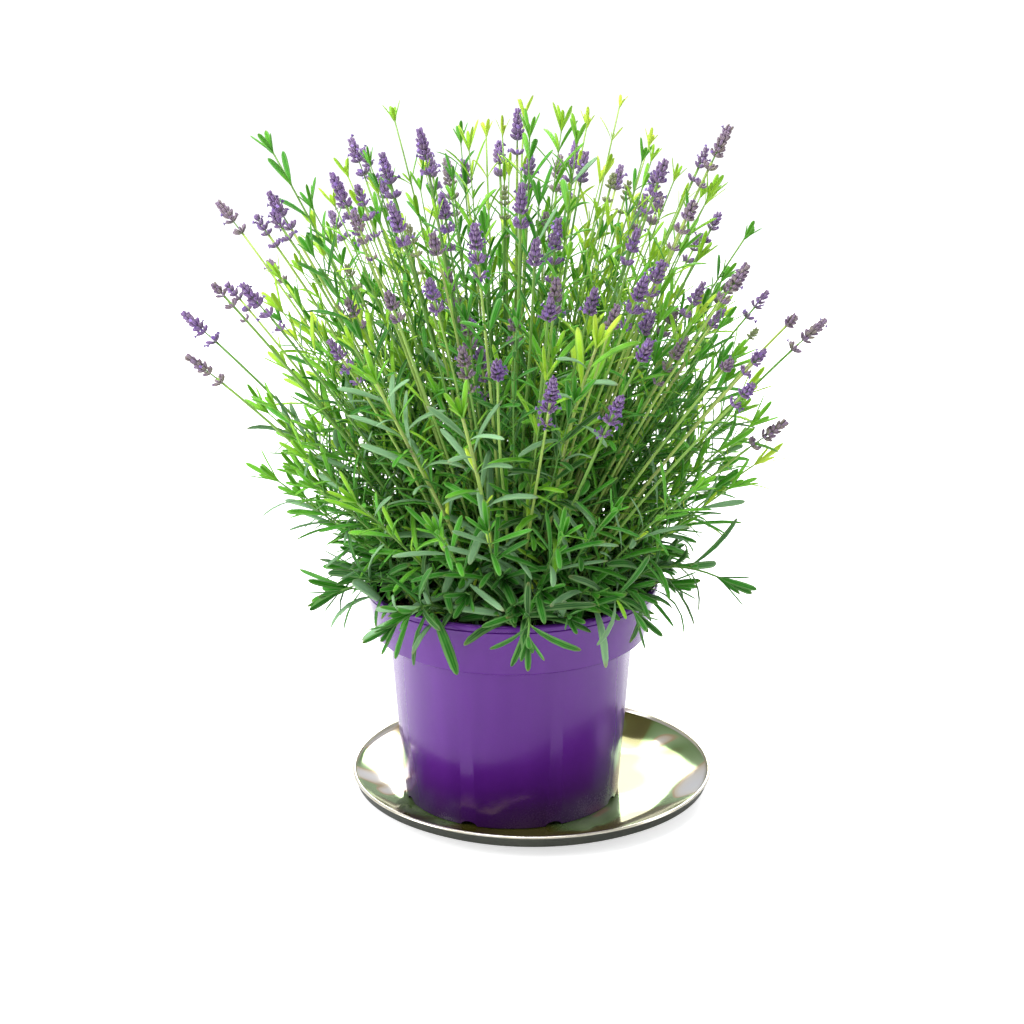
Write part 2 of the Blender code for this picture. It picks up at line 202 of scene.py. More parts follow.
def makeMottleGroup():
    # blotches and fine grain, used by every finish at its own scale
    tree = bpy.data.node_groups.new("mottle", "ShaderNodeTree")
    tree.interface.new_socket("Vector", in_out="INPUT", socket_type="NodeSocketVector")
    for name, value in (("Blotch Scale", 20.0), ("Grain Scale", 400.0), ("Grain Share", 0.4)):
        tree.interface.new_socket(name, in_out="INPUT", socket_type="NodeSocketFloat").default_value = value
    tree.interface.new_socket("Value", in_out="OUTPUT", socket_type="NodeSocketFloat")
    tree.interface.new_socket("Height", in_out="OUTPUT", socket_type="NodeSocketFloat")
    nodes, links = tree.nodes, tree.links
    entry, leave = nodes.new("NodeGroupInput"), nodes.new("NodeGroupOutput")
    blotch = addNode(nodes, "ShaderNodeTexNoise")
    grain = addNode(nodes, "ShaderNodeTexNoise")
    blotch.inputs["Detail"].default_value = 3
    grain.inputs["Detail"].default_value = 2
    for texture, scale in ((blotch, "Blotch Scale"), (grain, "Grain Scale")):
        links.new(entry.outputs["Vector"], texture.inputs["Vector"])
        links.new(entry.outputs[scale], texture.inputs["Scale"])
    blend = addNode(nodes, "ShaderNodeMix", data_type="FLOAT")
    links.new(entry.outputs["Grain Share"], blend.inputs[0])
    links.new(blotch.outputs["Fac"], blend.inputs[2])
    links.new(grain.outputs["Fac"], blend.inputs[3])
    links.new(blend.outputs[0], leave.inputs["Value"])
    links.new(grain.outputs["Fac"], leave.inputs["Height"])
    return tree


mottle = makeMottleGroup()


def addMottle(nodes, links, vector, blotchScale, grainScale, grainShare):
    node = addNode(nodes, "ShaderNodeGroup", node_tree=mottle)
    node.inputs["Blotch Scale"].default_value = blotchScale
    node.inputs["Grain Scale"].default_value = grainScale
    node.inputs["Grain Share"].default_value = grainShare
    links.new(vector, node.inputs["Vector"])
    return node.outputs["Value"], node.outputs["Height"]


def addBump(nodes, links, height, strength, distance, shader):
    bump = nodes.new("ShaderNodeBump")
    bump.inputs["Strength"].default_value = strength
    bump.inputs["Distance"].default_value = distance
    links.new(height, bump.inputs["Height"])
    links.new(bump.outputs["Normal"], shader.inputs["Normal"])


def addRange(nodes, links, value, fromLow, fromHigh, toLow, toHigh):
    node = nodes.new("ShaderNodeMapRange")
    for socket, number in zip(node.inputs[1:5], (fromLow, fromHigh, toLow, toHigh)):
        socket.default_value = number
    links.new(value, node.inputs[0])
    return node.outputs[0]


def plantParts(nodes, links):
    # the attribute grow holds a plant part's own directions: across, along and tone
    attribute = addNode(nodes, "ShaderNodeAttribute", attribute_name="grow")
    split = nodes.new("ShaderNodeSeparateXYZ")
    links.new(attribute.outputs["Vector"], split.inputs[0])
    place = nodes.new("ShaderNodeTexCoord").outputs["Object"]
    return split.outputs["X"], split.outputs["Y"], split.outputs["Z"], place


def leafFinish():
    # tone runs from 0, dark, to 1, yellow-green; below 0 a leaf is silvery. A shoot's tone is partly leaf age
    # and partly painted light: lighter at the back and top as painted backlight, darker low in the plant as
    # painted shade
    material, nodes, links = newMaterial("lavenderLeaf")
    shader = nodes["Principled BSDF"]
    across, along, tone, place = plantParts(nodes, links)
    value, height = addMottle(nodes, links, place, 60, 1500, 0.35)
    shift = addRange(nodes, links, value, 0.3, 0.7, -0.12, 0.12)
    shade = addMath(nodes, links, "ADD", tone, shift, clamp=True)
    greens = addRamp(nodes, [(0.0, (0.004, 0.060, 0.002)), (0.22, (0.012, 0.165, 0.003)),
                             (0.45, (0.045, 0.285, 0.006)), (0.65, (0.130, 0.420, 0.010)),
                             (0.85, (0.330, 0.600, 0.020)), (1.0, (0.520, 0.710, 0.050))])
    links.new(shade, greens.inputs[0])
    silver = addMath(nodes, links, "MULTIPLY", tone, -1.0, clamp=True)
    body = addMix(nodes, links, silver, greens.outputs[0], (0.210, 0.400, 0.210))
    side = addMath(nodes, links, "ABSOLUTE", across)
    rib = addRange(nodes, links, side, 0.0, 0.20, 0.25, 0.0)
    ribbed = addMix(nodes, links, rib, body, (0.26, 0.44, 0.10))
    rim = addRange(nodes, links, side, 0.80, 1.0, 0.0, 0.22)
    rimmed = addMix(nodes, links, rim, ribbed, (0.34, 0.56, 0.20))
    foot = addRange(nodes, links, along, 0.0, 0.16, 0.45, 0.0)
    footed = addMix(nodes, links, foot, rimmed, (0.32, 0.46, 0.10))
    dryTip = addMath(nodes, links, "MULTIPLY", addRange(nodes, links, along, 0.90, 1.0, 0.0, 1.0),
                     addRange(nodes, links, value, 0.45, 0.60, 0.0, 0.55))
    links.new(addMix(nodes, links, dryTip, footed, (0.24, 0.15, 0.06)), shader.inputs["Base Color"])
    links.new(addRange(nodes, links, value, 0.3, 0.7, 0.45, 0.65), shader.inputs["Roughness"])
    addBump(nodes, links, height, 0.25, 0.0002, shader)
    shader.inputs["Sheen Weight"].default_value = 0.04
    shader.inputs["Specular IOR Level"].default_value = 0.22
    return material


def stemFinish():
    material, nodes, links = newMaterial("lavenderStem")
    shader = nodes["Principled BSDF"]
    across, _, tone, place = plantParts(nodes, links)
    value, height = addMottle(nodes, links, place, 45, 1100, 0.4)
    shift = addRange(nodes, links, value, 0.3, 0.7, -0.14, 0.14)
    shade = addMath(nodes, links, "ADD", tone, shift, clamp=True)
    greens = addRamp(nodes, [(0.0, (0.025, 0.150, 0.012)), (0.35, (0.090, 0.260, 0.030)),
                             (0.70, (0.230, 0.430, 0.065)), (0.88, (0.400, 0.540, 0.110)),
                             (1.0, (0.240, 0.190, 0.120))])
    links.new(shade, greens.inputs[0])
    ridge = addMath(nodes, links, "SINE", addMath(nodes, links, "MULTIPLY", across, math.tau * 4))
    ridges = addMath(nodes, links, "MULTIPLY", addRange(nodes, links, ridge, -1, 1, 0, 1), 0.30)
    ridged = addMix(nodes, links, ridges, greens.outputs[0], (0.38, 0.48, 0.22))
    links.new(ridged, shader.inputs["Base Color"])
    links.new(addRange(nodes, links, value, 0.3, 0.7, 0.45, 0.65), shader.inputs["Roughness"])
    addBump(nodes, links, height, 0.3, 0.0002, shader)
    shader.inputs["Specular IOR Level"].default_value = 0.25
    return material


def calyxFinish():
    # tone: 0 green bud, 0.4 faded and brownish, 1 fresh violet
    material, nodes, links = newMaterial("calyx")
    shader = nodes["Principled BSDF"]
    across, along, tone, place = plantParts(nodes, links)
    value, height = addMottle(nodes, links, place, 160, 2500, 0.4)
    shift = addRange(nodes, links, value, 0.3, 0.7, -0.10, 0.10)
    shade = addMath(nodes, links, "ADD", tone, shift, clamp=True)
    hues = addRamp(nodes, [(0.0, (0.240, 0.340, 0.050)), (0.25, (0.230, 0.220, 0.110)),
                           (0.45, (0.210, 0.150, 0.180)), (0.70, (0.180, 0.105, 0.240)),
                           (1.0, (0.200, 0.095, 0.340))])
    links.new(shade, hues.inputs[0])
    wave = addMath(nodes, links, "SINE", addMath(nodes, links, "MULTIPLY", across, math.tau * 5))
    ribs = addMath(nodes, links, "MULTIPLY", addRange(nodes, links, wave, -0.2, 1, 0, 1), 0.45)
    ribbed = addMix(nodes, links, ribs, hues.outputs[0], (0.56, 0.47, 0.60))
    foot = addRange(nodes, links, along, 0.0, 0.35, 0.60, 0.0)
    footed = addMix(nodes, links, foot, ribbed, (0.190, 0.230, 0.090))
    mouth = addRange(nodes, links, along, 0.84, 1.0, 0.0, 0.60)
    links.new(addMix(nodes, links, mouth, footed, (0.085, 0.032, 0.150)), shader.inputs["Base Color"])
    links.new(addRange(nodes, links, value, 0.3, 0.7, 0.6, 0.85), shader.inputs["Roughness"])
    addBump(nodes, links, height, 0.4, 0.0003, shader)
    shader.inputs["Sheen Weight"].default_value = 0.22
    shader.inputs["Sheen Roughness"].default_value = 0.35
    shader.inputs["Specular IOR Level"].default_value = 0.2
    return material


def petalFinish():
    material, nodes, links = newMaterial("petal")
    shader = nodes["Principled BSDF"]
    _, along, tone, place = plantParts(nodes, links)
    value, height = addMottle(nodes, links, place, 220, 2200, 0.4)
    shift = addRange(nodes, links, value, 0.3, 0.7, -0.2, 0.2)
    shade = addMath(nodes, links, "ADD", tone, shift, clamp=True)
    hues = addRamp(nodes, [(0.0, (0.085, 0.030, 0.200)), (0.5, (0.150, 0.065, 0.320)),
                           (1.0, (0.270, 0.160, 0.470))])
    links.new(shade, hues.inputs[0])
    edge = addRange(nodes, links, along, 0.55, 1.0, 0.0, 0.30)
    links.new(addMix(nodes, links, edge, hues.outputs[0], (0.34, 0.22, 0.55)), shader.inputs["Base Color"])
    links.new(addRange(nodes, links, value, 0.3, 0.7, 0.45, 0.65), shader.inputs["Roughness"])
    addBump(nodes, links, height, 0.3, 0.0002, shader)
    shader.inputs["Sheen Weight"].default_value = 0.3
    return material


def plasticFinish():
    # glossy moulded plastic: faint flow marks, fine scuffs, a little dust near the foot, and painted shade
    # that darkens it towards the foot
    material, nodes, links = newMaterial("purplePlastic")
    shader = nodes["Principled BSDF"]
    place = nodes.new("ShaderNodeTexCoord").outputs["Object"]
    value, height = addMottle(nodes, links, place, 14, 900, 0.25)
    stretch = nodes.new("ShaderNodeMapping")
    stretch.inputs["Scale"].default_value = (1, 1, 0.06)
    links.new(place, stretch.inputs["Vector"])
    flow = addNode(nodes, "ShaderNodeTexNoise")
    flow.inputs["Scale"].default_value = 55
    links.new(stretch.outputs[0], flow.inputs["Vector"])
    hues = addRamp(nodes, [(0.30, (0.070, 0.007, 0.165)), (0.70, (0.100, 0.012, 0.225))])
    both = addMath(nodes, links, "ADD", addMath(nodes, links, "MULTIPLY", flow.outputs["Fac"], 0.5),
                   addMath(nodes, links, "MULTIPLY", value, 0.5))
    links.new(both, hues.inputs[0])
    rise = nodes.new("ShaderNodeSeparateXYZ")
    links.new(place, rise.inputs[0])
    low = addRange(nodes, links, rise.outputs["Z"], potLow.z, potLow.z + 0.022, 0.30, 0.0)
    dust = addMath(nodes, links, "MULTIPLY", low, addRange(nodes, links, value, 0.42, 0.66, 0.0, 1.0))
    # painted shade: the base colour is darkened towards the foot of the pot
    lowPaintedShade = addRange(nodes, links, rise.outputs["Z"], potLow.z, potLow.z + 0.055, 0.60, 0.0)
    paintedShadeDarkened = addMix(nodes, links, lowPaintedShade, hues.outputs[0], (0.020, 0.004, 0.040))
    links.new(addMix(nodes, links, dust, paintedShadeDarkened, (0.16, 0.12, 0.15)), shader.inputs["Base Color"])
    rough = addRange(nodes, links, value, 0.35, 0.65, 0.14, 0.24)
    links.new(addMath(nodes, links, "ADD", rough, addMath(nodes, links, "MULTIPLY", dust, 0.6)),
              shader.inputs["Roughness"])
    bumps = addMath(nodes, links, "ADD", flow.outputs["Fac"], addMath(nodes, links, "MULTIPLY", height, 0.06))
    addBump(nodes, links, bumps, 0.12, 0.0010, shader)
    shader.inputs["Coat Weight"].default_value = 0.10
    shader.inputs["Coat Roughness"].default_value = 0.08
    shader.inputs["Specular Tint"].default_value = (0.84, 0.66, 1.0, 1)
    return material


def metalFinish():
    # polished champagne metal with soft uneven waves; its colour is painted reflection, olive, green, cream
    # and white in long blotches, darker olive towards the front
    material, nodes, links = newMaterial("polishedMetal")
    shader = nodes["Principled BSDF"]
    place = nodes.new("ShaderNodeTexCoord").outputs["Object"]
    value, height = addMottle(nodes, links, place, 24, 1400, 0.3)
    waves = addNode(nodes, "ShaderNodeTexNoise")
    waves.inputs["Scale"].default_value = 12
    waves.inputs["Detail"].default_value = 1.0
    waves.inputs["Distortion"].default_value = 1.3
    links.new(place, waves.inputs["Vector"])
    split = nodes.new("ShaderNodeSeparateXYZ")
    links.new(place, split.inputs[0])
    # painted reflection: darker olive towards the front, a little shifted near the left
    frontPaintedReflection = addRange(nodes, links, split.outputs["Y"], -0.088, -0.050, -0.42, 0.0)
    leftPaintedReflection = addRange(nodes, links, split.outputs["X"], -0.105, -0.050, 0.05, -0.045)
    shift = addMath(nodes, links, "ADD", frontPaintedReflection, leftPaintedReflection)
    paintedReflection = addMath(nodes, links, "ADD", waves.outputs["Fac"], shift)
    # painted reflection: dark olive, green, cream and white
    hues = addRamp(nodes, [(0.20, (0.110, 0.090, 0.015)), (0.34, (0.150, 0.140, 0.030)),
                           (0.39, (0.220, 0.350, 0.120)), (0.52, (0.360, 0.510, 0.240)),
                           (0.545, (0.600, 0.450, 0.250)), (0.57, (0.780, 0.680, 0.500)),
                           (0.62, (0.900, 0.860, 0.780)), (0.72, (0.960, 0.960, 0.960))])
    links.new(paintedReflection, hues.inputs[0])
    links.new(hues.outputs[0], shader.inputs["Base Color"])
    links.new(addRange(nodes, links, value, 0.35, 0.7, 0.06, 0.14), shader.inputs["Roughness"])
    shader.inputs["Metallic"].default_value = 0.6
    grain = addMath(nodes, links, "MULTIPLY", height, 0.01)
    bumps = addMath(nodes, links, "ADD", waves.outputs["Fac"], grain)
    addBump(nodes, links, bumps, 0.25, 0.0035, shader)
    return material


def edgeFinish():
    # the rolled edge, painted bright cream: a painted highlight along the rim
    material, nodes, links = newMaterial("brightEdge")
    shader = nodes["Principled BSDF"]
    place = nodes.new("ShaderNodeTexCoord").outputs["Object"]
    value, height = addMottle(nodes, links, place, 40, 1200, 0.4)
    hues = addRamp(nodes, [(0.3, (0.660, 0.600, 0.450)), (0.7, (0.900, 0.870, 0.780))])
    links.new(value, hues.inputs[0])
    links.new(hues.outputs[0], shader.inputs["Base Color"])
    links.new(addRange(nodes, links, value, 0.3, 0.7, 0.12, 0.24), shader.inputs["Roughness"])
    shader.inputs["Metallic"].default_value = 0.7
    addBump(nodes, links, height, 0.1, 0.0002, shader)
    return material


def undersideFinish():
    # the rougher outside of the saucer, painted dark grey-green: painted shade under the rim
    material, nodes, links = newMaterial("paintedShadeUnderside")
    shader = nodes["Principled BSDF"]
    place = nodes.new("ShaderNodeTexCoord").outputs["Object"]
    value, height = addMottle(nodes, links, place, 30, 1100, 0.4)
    hues = addRamp(nodes, [(0.3, (0.030, 0.034, 0.026)), (0.7, (0.070, 0.076, 0.058))])
    links.new(value, hues.inputs[0])
    links.new(hues.outputs[0], shader.inputs["Base Color"])
    links.new(addRange(nodes, links, value, 0.3, 0.7, 0.40, 0.60), shader.inputs["Roughness"])
    shader.inputs["Metallic"].default_value = 0.5
    addBump(nodes, links, height, 0.2, 0.0003, shader)
    return material


def soilFinish():
    material, nodes, links = newMaterial("pottingMix")
    shader = nodes["Principled BSDF"]
    place = nodes.new("ShaderNodeTexCoord").outputs["Object"]
    value, height = addMottle(nodes, links, place, 130, 900, 0.5)
    hues = addRamp(nodes, [(0.35, (0.008, 0.005, 0.003)), (0.55, (0.034, 0.022, 0.014)),
                           (0.75, (0.110, 0.075, 0.045))])
    links.new(value, hues.inputs[0])
    links.new(hues.outputs[0], shader.inputs["Base Color"])
    links.new(addRange(nodes, links, value, 0.3, 0.7, 0.75, 0.98), shader.inputs["Roughness"])
    addBump(nodes, links, height, 0.8, 0.0010, shader)
    return material


def barkFinish():
    material, nodes, links = newMaterial("barkChip")
    shader = nodes["Principled BSDF"]
    _, _, tone, place = plantParts(nodes, links)
    value, height = addMottle(nodes, links, place, 200, 1200, 0.5)
    shift = addRange(nodes, links, value, 0.3, 0.7, -0.25, 0.25)
    shade = addMath(nodes, links, "ADD", tone, shift, clamp=True)
    hues = addRamp(nodes, [(0.0, (0.020, 0.011, 0.007)), (0.5, (0.085, 0.045, 0.025)),
                           (1.0, (0.240, 0.160, 0.100))])
    links.new(shade, hues.inputs[0])
    links.new(hues.outputs[0], shader.inputs["Base Color"])
    links.new(addRange(nodes, links, value, 0.3, 0.7, 0.65, 0.9), shader.inputs["Roughness"])
    addBump(nodes, links, height, 0.6, 0.0006, shader)
    return material


leafGreen = leafFinish()
stemGreen = stemFinish()
calyxViolet = calyxFinish()
petalViolet = petalFinish()
purplePlastic = plasticFinish()
polishedMetal = metalFinish()
brightEdge = edgeFinish()
darkUnderside = undersideFinish()
pottingMix = soilFinish()
barkBrown = barkFinish()
print("finishes made")

# pot
pot = {"sides": 160, "wall": 1.8 * mm, "corner": 1.6 * mm, "edge": 0.5 * mm, "floorLift": 3.5 * mm,
       "lipHeight": 4.0 * mm, "lipWidth": 4.2 * mm, "lipOverhang": 0.9 * mm, "bandHeight": 34.5 * mm,
       "bandTaper": 6.4 * mm, "bandStep": 8.6 * mm, "bodyTaper": 8.2 * mm,
       "notches": 8, "notchWidth": 11.0 * mm, "notchHeight": 3.0 * mm}
pot["bandTop"] = rimRadius - pot["lipOverhang"]
pot["bandFoot"] = pot["bandTop"] - pot["bandTaper"]
pot["bodyTop"] = pot["bandFoot"] - pot["bandStep"]
pot["foot"] = pot["bodyTop"] - pot["bodyTaper"]
pot["lipBase"] = potHigh.z - pot["lipHeight"]
pot["bandBase"] = potHigh.z - pot["bandHeight"]


def makePot():
    wall, corner, edge, over = pot["wall"], pot["corner"], pot["edge"], pot["lipOverhang"]
    base, top, foot = potLow.z, potHigh.z, pot["foot"]
    lipInner = rimRadius - pot["lipWidth"]
    profile = [(foot - wall, base + pot["floorLift"]), (foot - wall, base)]
    profile += arcPoints((foot - edge, base + edge), edge, -90, 0, 3)
    profile += [(pot["bodyTop"], pot["bandBase"] - 2 * edge)]
    profile += [(pot["bodyTop"] + edge, pot["bandBase"] - edge * 0.3)]
    profile += [(pot["bodyTop"] + 3 * edge, pot["bandBase"])]
    profile += arcPoints((pot["bandFoot"] - corner, pot["bandBase"] + corner), corner, -90, 4, 6)
    groove = pot["bandTop"] - over * 0.7
    profile += [(pot["bandTop"], pot["lipBase"] - over), (groove, pot["lipBase"] - over * 0.3)]
    profile += [(groove, pot["lipBase"] + over * 0.3), (rimRadius, pot["lipBase"] + over)]
    profile += arcPoints((rimRadius - corner, top - corner), corner, 0, 90, 6)
    profile += arcPoints((lipInner + corner, top - corner), corner, 90, 180, 4)
    profile += [(lipInner, pot["lipBase"]), (pot["bandTop"] - wall, pot["lipBase"] - corner)]
    profile += [(pot["bandFoot"] - wall, pot["bandBase"] + wall)]
    profile += [(pot["bodyTop"] - wall, pot["bandBase"] + wall)]
    profile += [(foot - wall, base + pot["floorLift"] + wall)]
    piece = extrudedTurn("purplePot", profile, pot["sides"])
    clearSelection()
    for index in range(pot["notches"]):
        turn = math.tau * (index + 0.5) / pot["notches"]
        place = ((foot - wall / 2) * math.cos(turn), (foot - wall / 2) * math.sin(turn), base)
        bpy.ops.mesh.primitive_cylinder_add(vertices=32, radius=pot["notchWidth"] / 2, depth=6 * wall,
                                            location=place, rotation=(0, math.pi / 2, turn))
        cutter = bpy.context.object
        cutter.scale.x = pot["notchHeight"] * 2 / pot["notchWidth"]
        notch = piece.modifiers.new("notch", "BOOLEAN")
        notch.operation = "DIFFERENCE"
        notch.object = cutter
        applyModifier(piece, notch)
        bpy.data.objects.remove(cutter)
    return finishPiece(piece, [purplePlastic], ["pot"], smoothAngle=38)


makePot()
print("pot made")

# saucer
plate = {"sides": 200, "floor": 3.2 * mm, "wall": 4.6 * mm, "roll": 1.2 * mm, "dishWidth": 30.0 * mm,
         "dishCurve": 1.6, "steps": 12, "leastLift": 0.5 * mm}


def makePlate():
    flat = plateRadius - plate["dishWidth"]
    roll, top = plate["roll"], plateHigh.z - plate["roll"]
    dish = []
    for step in range(plate["steps"]):
        share = step / plate["steps"]
        height = mix(plate["floor"], top, share ** plate["dishCurve"])
        dish.append((flat + plate["dishWidth"] * share, height))
    underside = [(radius, max(height - plate["wall"], plate["leastLift"])) for radius, height in dish[1:]]
    profile = [(flat, plateLow.z)] + underside
    profile += arcPoints((plateRadius - roll, top), roll, -70, 130, 8)
    profile += list(reversed(dish))
    piece = extrudedTurn("metalSaucer", profile, plate["sides"])
    # faces that face down and the outside of the roll take the painted shade, a band round the rim the
    # painted highlight
    for face in piece.data.polygons:
        reach = math.hypot(face.center.x, face.center.y)
        below = face.normal.z < -0.1 or (reach > plateRadius - roll and face.center.z < top - roll * 0.4)
        face.material_index = 2 if below else 1 if reach > plateRadius - 2 * roll else 0
    piece.data.transform(Matrix.Translation((*plateCentre, 0)))
    materials = [polishedMetal, brightEdge, darkUnderside]
    return finishPiece(piece, materials, ["saucer"], smoothAngle=50)


makePlate()
print("saucer made")

# soil and bark
soil = {"sides": 96, "rings": 16, "depth": 10 * mm, "lump": 2.4 * mm, "lumpScale": 90, "chips": 320}
soilEdge = pot["bandFoot"] - pot["wall"] + 3.2 * mm


def soilHeight(x, y):
    # height of the lumpy surface, lower at the wall
    lumps = noise.noise(Vector((x, y, 0.3)) * soil["lumpScale"]) * 0.6
    lumps += noise.noise(Vector((x, y, 0.7)) * soil["lumpScale"] * 3) * 0.4
    dip = max(0.0, math.hypot(x, y) / soilEdge - 0.85) * 12 * mm
    return soilTop - 0.8 * mm + lumps * soil["lump"] - dip


def makeSoil():
    profile = [(soilEdge - 2 * mm, soilTop - soil["depth"]), (soilEdge, soilTop - 2 * mm)]
    for ring in range(1, soil["rings"]):
        profile.append((soilEdge * (1 - ring / soil["rings"]), soilTop))
    piece = extrudedTurn("pottingSoil", profile, soil["sides"])
    for point in piece.data.vertices:
        if point.co.z > soilTop - 3 * mm:
            point.co.z = soilHeight(point.co.x, point.co.y)
    return finishPiece(piece, [pottingMix], ["potting_soil"], smoothAngle=60)


makeSoil()
print("soil made")

# shapes that are modelled once and copied many times: each lies along +Y from the origin


def makeTemplate(name, sections, sides):
    # sections are (width, place along)
    piece = extrudedTurn(name, sections, sides)
    mesh = piece.data
    places = np.empty(len(mesh.vertices) * 3)
    mesh.vertices.foreach_get("co", places)
    places = places.reshape(-1, 3)[:, [0, 2, 1]] * (1, 1, -1)
    corners = np.empty(len(mesh.loops), np.int64)
    mesh.loops.foreach_get("vertex_index", corners)
    sizes = np.empty(len(mesh.polygons), np.int64)
    mesh.polygons.foreach_get("loop_total", sizes)
    bpy.data.objects.remove(piece)
    turn = np.arctan2(places[:, 2], places[:, 0])
    return {"places": places, "corners": corners, "sizes": sizes, "turn": turn}


def makeLeafTemplate():
    # a narrow blade: six points round, so the upper side has a channel and the lower a midrib
    sections = [(0.26, 0.0), (0.34, 0.10), (0.72, 0.28), (0.95, 0.50),
                (1.0, 0.72), (0.84, 0.89), (0.50, 0.97), (0.16, 1.0)]
    thickness = 0.30
    shape = makeTemplate("leafBlade", sections, 6)
    places = shape["places"]
    turned = places[:, [0, 2]].copy()
    spin = math.radians(30)        # brings a point to the middle of the upper and lower sides
    x = turned[:, 0] * math.cos(spin) - turned[:, 1] * math.sin(spin)
    z = turned[:, 0] * math.sin(spin) + turned[:, 1] * math.cos(spin)
    middle = np.abs(x) < 0.1 * np.hypot(x, z)
    upper = z > 0
    z = np.where(middle & upper, z * -0.1, np.where(upper, z * 0.9, z * 0.75))
    places[:, 0], places[:, 2] = x, z * thickness
    width = np.maximum(np.abs(x).max(), 1e-9)
    shape["across"] = np.where(middle, 0.0, np.sign(x))
    shape["along"] = places[:, 1].copy()
    places[:, 0] /= width
    return shape


def makeTubeTemplate(name, sections, sides):
    shape = makeTemplate(name, sections, sides)
    shape["across"] = shape["turn"] / math.tau
    shape["along"] = shape["places"][:, 1] / shape["places"][:, 1].max()
    return shape


def makePetalTemplate():
    # a short tube that opens in five lobes
    sections = [(0.20, 0.0), (0.34, 0.55), (0.95, 0.92), (1.0, 1.0), (0.30, 0.72)]
    shape = makeTubeTemplate("smallFlower", sections, 10)
    places = shape["places"]
    wide = np.hypot(places[:, 0], places[:, 2]) > 0.8
    notch = np.round(shape["turn"] / (math.tau / 10)).astype(int) % 2 == 1
    places[wide & notch] *= (0.55, 0.9, 0.55)
    shape["along"] = np.clip(np.hypot(places[:, 0], places[:, 2]), 0, 1)
    return shape


def makeChipTemplate():
    clearSelection()
    bpy.ops.mesh.primitive_cube_add(size=1)
    piece = bpy.context.object
    bpy.ops.object.mode_set(mode="EDIT")
    bpy.ops.mesh.select_all(action="SELECT")
    bpy.ops.mesh.subdivide(number_cuts=1, smoothness=0.6)
    bpy.ops.object.mode_set(mode="OBJECT")
    mesh = piece.data
    places = np.array([point.co + 0.16 * noise.noise_vector(point.co * 2.3) for point in mesh.vertices])
    corners = np.array([loop.vertex_index for loop in mesh.loops])
    sizes = np.array([len(face.vertices) for face in mesh.polygons])
    bpy.data.objects.remove(piece)
    return {"places": places, "corners": corners, "sizes": sizes,
            "across": places[:, 0], "along": places[:, 1]}


leafShape = makeLeafTemplate()
calyxSections = [(0.34, 0.0), (0.78, 0.22), (1.0, 0.60), (0.90, 0.86), (0.45, 1.0)]
calyxShape = makeTubeTemplate("calyxTube", calyxSections, 6)
petalShape = makePetalTemplate()
chipShape = makeChipTemplate()
print("leaf, calyx, flower and chip shapes made")


def newBundle():
    return {"places": [], "corners": [], "sizes": [], "finish": [], "grow": [], "count": 0}


def addShape(bundle, places, corners, sizes, finish, across, along, tone):
    bundle["places"].append(places)
    bundle["corners"].append(corners + bundle["count"])
    bundle["sizes"].append(sizes)
    bundle["finish"].append(np.full(len(sizes), finish))
    bundle["grow"].append(np.stack([across, along, np.full(len(places), tone)], axis=1))
    bundle["count"] += len(places)


def copyPlaces(shape, origin, axes, size, bend=0.0):
    # the template's points, sized, curled away from its upper side, turned and moved
    x, y, z = (shape["places"] * size).T
    if abs(bend) > 1e-4:
        curve = bend / size[1]
        angle = curve * y
        y, z = np.sin(angle) / curve + z * np.sin(angle), -(1 - np.cos(angle)) / curve + z * np.cos(angle)
    return origin + np.outer(x, axes[0]) + np.outer(y, axes[1]) + np.outer(z, axes[2])


def makePiece(name, bundle, materials, nodes=()):
    mesh = bpy.data.meshes.new(name)
    places = np.concatenate(bundle["places"]).astype(np.float32)
    corners = np.concatenate(bundle["corners"]).astype(np.int32)
    sizes = np.concatenate(bundle["sizes"])
    mesh.vertices.add(len(places))
    mesh.vertices.foreach_set("co", places.ravel())
    mesh.loops.add(len(corners))
    mesh.loops.foreach_set("vertex_index", corners)
    mesh.polygons.add(len(sizes))
    mesh.polygons.foreach_set("loop_start", np.concatenate([[0], np.cumsum(sizes)[:-1]]).astype(np.int32))
    mesh.polygons.foreach_set("material_index", np.concatenate(bundle["finish"]).astype(np.int32))
    mesh.update(calc_edges=True)
    mesh.shade_smooth()
    grow = mesh.attributes.new("grow", "FLOAT_VECTOR", "POINT")
    grow.data.foreach_set("vector", np.concatenate(bundle["grow"]).astype(np.float32).ravel())
    piece = bpy.data.objects.new(name, mesh)
    bpy.context.scene.collection.objects.link(piece)
    return finishPiece(piece, materials, nodes)


def makeBark():
    chance = random.Random(11)
    bundle = newBundle()
    for index in range(soil["chips"]):
        reach = soilEdge * 0.97 * math.sqrt((index + 0.5) / soil["chips"])
        x, y = reach * math.cos(index * goldenTurn), reach * math.sin(index * goldenTurn)
        size = np.array((chance.uniform(2.5, 8.0), chance.uniform(1.5, 4.0), chance.uniform(0.7, 1.8))) * mm
        turn = Matrix.Rotation(chance.uniform(0, math.tau), 3, "Z")
        turn = turn @ Matrix.Rotation(chance.uniform(-0.5, 0.5), 3, "X")
        turn = turn @ Matrix.Rotation(chance.uniform(-0.4, 0.4), 3, "Y")
        origin = np.array((x, y, soilHeight(x, y) + size[2] * 0.3))
        places = copyPlaces(chipShape, origin, np.array(turn).T, size)
        if np.hypot(places[:, 0], places[:, 1]).max() < soilEdge:
            addShape(bundle, places, chipShape["corners"], chipShape["sizes"], 0,
                     chipShape["across"], chipShape["along"], chance.random())
    makePiece("barkChips", bundle, [barkBrown])


makeBark()
print("bark made")

# stems
fan = {"depth": 45 * mm, "outward": 0.45, "upward": 0.55}
stem = {"sides": 8, "flatSide": 0.84, "rings": 14}


